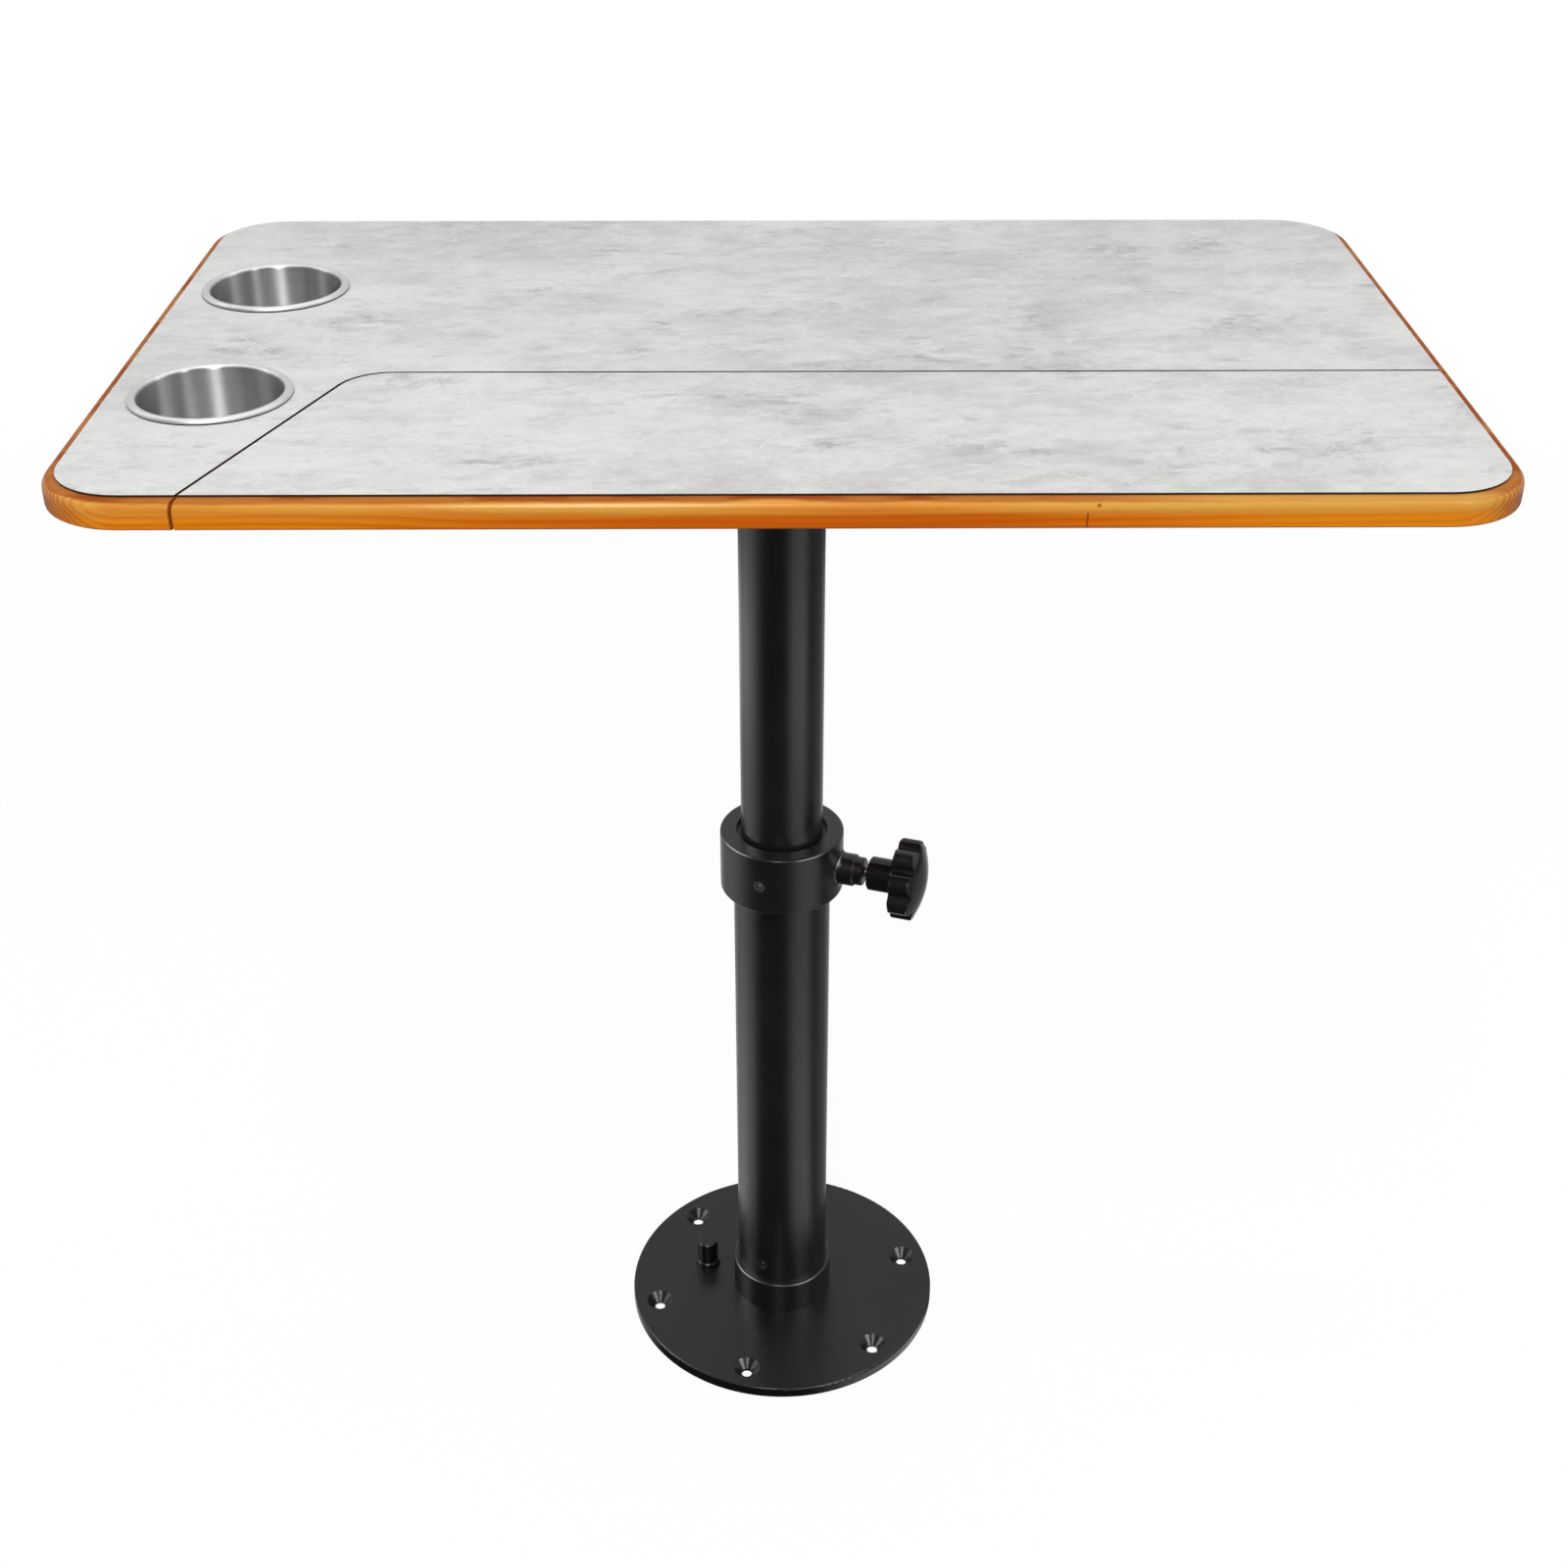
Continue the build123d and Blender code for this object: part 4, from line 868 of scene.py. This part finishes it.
FOOT_PIECES = ("base_plate", "base_peg", "foot_set_screw")
DARK_SLOTS = ("black_steel", "black_plastic", "set_screw_steel")
DARK_PIECES = tuple(
    node.name for slot in DARK_SLOTS for node in SLOT_NODES[slot] if node.name not in FOOT_PIECES)
LAMPS = (
    Lamp("Overhead softbox", (0.0, 0.2, 3.2), (0.0, 0.0, 0.7), (3.0, 3.0), 20.0),
    Lamp("Front softbox", (-0.24, -1.60, 2.20), (-0.1, -0.1, 0.7), (0.28, 1.10), 23.0),
    Lamp("Right strip", (1.10, -1.15, 2.00), (0.0, 0.0, 0.7), (0.07, 1.00), 4.0),
    Lamp("Left strip", (-1.75, 0.16, 2.00), (0.0, 0.0, 0.7), (0.07, 1.00), 4.0),
    Lamp("Rear right strip", (1.40, 0.25, 2.10), (0.0, -0.1, 0.7), (0.06, 1.00), 3.5),
    Lamp("Left side softbox", (-1.30, 0.05, 1.00), (0.0, 0.0, 0.3), (1.20, 1.00), 40.0, DARK_PIECES),
    Lamp("Right side softbox", (0.99, -0.84, 1.00), (0.0, 0.0, 0.3), (1.00, 1.00), 34.0, DARK_PIECES),
    Lamp("Left foot softbox", (-1.30, 0.05, 1.00), (0.0, 0.0, 0.0), (0.60, 0.40), 10.0, FOOT_PIECES),
    Lamp("Right foot softbox", (0.99, -0.84, 1.00), (0.0, 0.0, 0.0), (0.60, 0.40), 8.5, FOOT_PIECES),
)


def add_lamp(lamp):
    """Set up a lamp at its place, turned to its target."""
    light = bpy.data.lights.new(lamp.name, "AREA")
    light.shape = "RECTANGLE"
    light.size, light.size_y = lamp.size
    light.energy = lamp.power
    holder = bpy.data.objects.new(lamp.name, light)
    holder.location = lamp.place
    sight = Vector(lamp.target) - Vector(lamp.place)
    holder.rotation_euler = sight.to_track_quat("-Z", "Y").to_euler()
    holder.visible_camera = False
    bpy.context.scene.collection.objects.link(holder)
    if lamp.only:
        lit = bpy.data.collections.new("Lit by " + lamp.name.lower())
        for name in lamp.only:
            lit.objects.link(frame["nodes"][name])
        holder.light_linking.receiver_collection = lit


def add_camera(scene, chosen):
    """Put the camera at its place, and make it the scene's own."""
    camera = bpy.data.objects.new("Camera", bpy.data.cameras.new("Camera"))
    camera.location = chosen.camera_place
    camera.rotation_euler = (math.pi / 2 - chosen.camera_pitch, 0.0, chosen.camera_turn)
    camera.data.lens = chosen.camera_lens
    scene.collection.objects.link(camera)
    scene.camera = camera


# What shining pieces see all round: a level in front of the table, and what is added behind it
SURROUND_FRONT, SURROUND_BEHIND, SURROUND_TURN = 0.12, 0.54, (-0.45, 0.15)


def set_world(scene, chosen):
    """Even light from all round, white to the camera. Shining pieces see grey, paler at the rear."""
    scene.world = bpy.data.worlds.new("Studio")
    graph = Graph(scene.world)
    white = graph.ray("Is Camera Ray").larger(graph.ray("Is Transmission Ray"))
    shine = graph.ray("Is Glossy Ray")
    behind = graph.step(graph.axis(graph.place("Generated"), 1), *SURROUND_TURN)
    mirrored = SURROUND_FRONT + SURROUND_BEHIND * behind
    level = chosen.ambient + (1.0 - chosen.ambient) * white + shine * (mirrored - chosen.ambient)
    light = graph.node("ShaderNodeBackground", sockets={"Color": WHITE, "Strength": level})
    graph.finish(light, "ShaderNodeOutputWorld")


# The floor's reach in metres, its white to the camera, and where that white becomes plain
FLOOR_REACH, FLOOR_LIGHT, FLOOR_FADE = 14.0, 1.08, (1.2, 4.0)

# Pale cards on the floor that only shining pieces see, by bearing in radians from the front and by
# distance from the pole in metres
CARD_LEVEL, CARD_EVEN, CARD_FAR, CARD_NEAR = 1.10, 0.62, 1.30, 0.35
CARD_FAR_START, CARD_NEAR_END, CARD_END = (0.74, 1.00), (0.25, 0.50), (1.10, 1.35)
RIGHT_CARD_START, RIGHT_CARD_END = (0.12, 0.62), (1.0, 1.45)
LEFT_CARD_START, LEFT_CARD_END, LEFT_CARD_DROP = (0.85, 1.60), (1.9, 2.3), 0.6
RIGHT_SIDE, RIGHT_SIDE_LEVEL = (1.3, 1.9), 0.25
REAR_SIDE, REAR_SIDE_LEVEL = (2.2, 2.8), 0.50
DISTANT_START, DISTANT_BEARING, DISTANT_LEVEL = (1.5, 2.3), (0.5, 0.9), 0.60
DARK_FLOOR = 0.045


def floor_cards(graph, across, away, distance):
    """The level of the floor to shining pieces.

    Two cards lie to the right and to the left of the front. They are brighter close to the pole and
    near their end, a little over a metre away. The right side, the rear and the distance are a
    little paler than the dark floor.
    """
    bearing = across.math("ARCTAN2", across, -away)
    right = graph.step(bearing, *RIGHT_CARD_START) * (1.0 - graph.step(bearing, *RIGHT_CARD_END))
    left = graph.step(-bearing, *LEFT_CARD_START)
    left = left * (1.0 - LEFT_CARD_DROP * graph.step(-bearing, *LEFT_CARD_END))
    close = 1.0 - graph.step(distance, *CARD_NEAR_END)
    ring = CARD_EVEN + CARD_FAR * graph.step(distance, *CARD_FAR_START) + CARD_NEAR * close
    cards = ring * CARD_LEVEL * (right + left)
    cards = cards + RIGHT_SIDE_LEVEL * graph.step(bearing, *RIGHT_SIDE)
    cards = cards + REAR_SIDE_LEVEL * graph.step(abs(bearing), *REAR_SIDE)
    distant = graph.step(distance, *DISTANT_START) * graph.step(abs(bearing), *DISTANT_BEARING)
    return DARK_FLOOR + (1.0 - graph.step(distance, *CARD_END)) * cards + DISTANT_LEVEL * distant


def add_floor(scene, chosen):
    """A pale floor that keeps the table's shadow. Shining pieces see its cards."""
    mesh = bpy.data.meshes.new("Floor")
    corners = FLOOR_REACH * np.array([(-1, -1, 0), (1, -1, 0), (1, 1, 0), (-1, 1, 0)])
    mesh.from_pydata(corners.tolist(), [], [(0, 1, 2, 3)])
    floor = bpy.data.objects.new("Floor", mesh)
    scene.collection.objects.link(floor)
    material, graph = new_graph("pale floor")
    spot = graph.place()
    across, away = (graph.axis(spot, index) for index in range(2))
    distance = (across * across + away * away) ** 0.5
    white = graph.ray("Is Camera Ray").larger(graph.ray("Is Transmission Ray"))
    shine = graph.ray("Is Glossy Ray")
    plain = chosen.floor_white + (1.0 - chosen.floor_white) * graph.step(distance, *FLOOR_FADE)
    level = FLOOR_LIGHT + shine * (floor_cards(graph, across, away, distance) - FLOOR_LIGHT)
    pale = graph.node("ShaderNodeBsdfDiffuse", sockets={"Color": opaque(chosen.floor)})
    bright = graph.node("ShaderNodeEmission", sockets={"Color": WHITE, "Strength": level})
    graph.finish(graph.mixed(white * plain + shine, pale, bright))
    mesh.materials.append(material)


class CAMPER_OT_stage(bpy.types.Operator):
    """Set up the camera, the lamps, the surroundings and the floor."""

    bl_idname = "camper_table.set_stage"
    bl_label = "Set stage"

    def execute(self, context):
        chosen = context.scene.camper_stage
        context.scene.view_settings.view_transform = "Standard"
        add_camera(context.scene, chosen)
        for lamp in LAMPS:
            add_lamp(lamp)
        set_world(context.scene, chosen)
        add_floor(context.scene, chosen)
        return {"FINISHED"}


class CAMPER_PT_panel(bpy.types.Panel):
    """The table's operators and settings in the sidebar."""

    bl_idname = "CAMPER_PT_panel"
    bl_label = "Camper table"
    bl_space_type = "VIEW_3D"
    bl_region_type = "UI"
    bl_category = "Camper table"

    def draw(self, context):
        for step in STEPS:
            self.layout.operator(step.bl_idname)
        for group in SETTINGS:
            settings = getattr(context.scene, group)
            for name in settings.__annotations__:
                self.layout.prop(settings, name)


SETTINGS = {
    "camper_laminate": LaminateSettings,
    "camper_pine": PineSettings,
    "camper_metal": MetalSettings,
    "camper_screws": ScrewSettings,
    "camper_stage": StageSettings,
}
STEPS = [
    CAMPER_OT_laminate,
    CAMPER_OT_pine,
    CAMPER_OT_cups,
    CAMPER_OT_pole,
    CAMPER_OT_plastics,
    CAMPER_OT_hardware,
    CAMPER_OT_thread,
    CAMPER_OT_screws,
    CAMPER_OT_stage,
]


def register():
    """Register the settings, the operators and the panel."""
    for name, group in SETTINGS.items():
        bpy.utils.register_class(group)
        setattr(bpy.types.Scene, name, PointerProperty(type=group))
    for step in STEPS:
        bpy.utils.register_class(step)
    bpy.utils.register_class(CAMPER_PT_panel)


def unregister():
    """Take away what register added."""
    bpy.utils.unregister_class(CAMPER_PT_panel)
    for step in reversed(STEPS):
        bpy.utils.unregister_class(step)
    for name, group in reversed(SETTINGS.items()):
        delattr(bpy.types.Scene, name)
        bpy.utils.unregister_class(group)


def main():
    """Dress the table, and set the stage."""
    register()
    bpy.ops.camper_table.dress_laminate()
    bpy.ops.camper_table.dress_pine()
    bpy.ops.camper_table.dress_cups()
    bpy.ops.camper_table.dress_pole()
    bpy.ops.camper_table.dress_plastics()
    bpy.ops.camper_table.dress_hardware()
    bpy.ops.camper_table.cut_thread()
    bpy.ops.camper_table.cut_screws()
    bpy.ops.camper_table.set_stage()


if __name__ == "__main__":
    main()
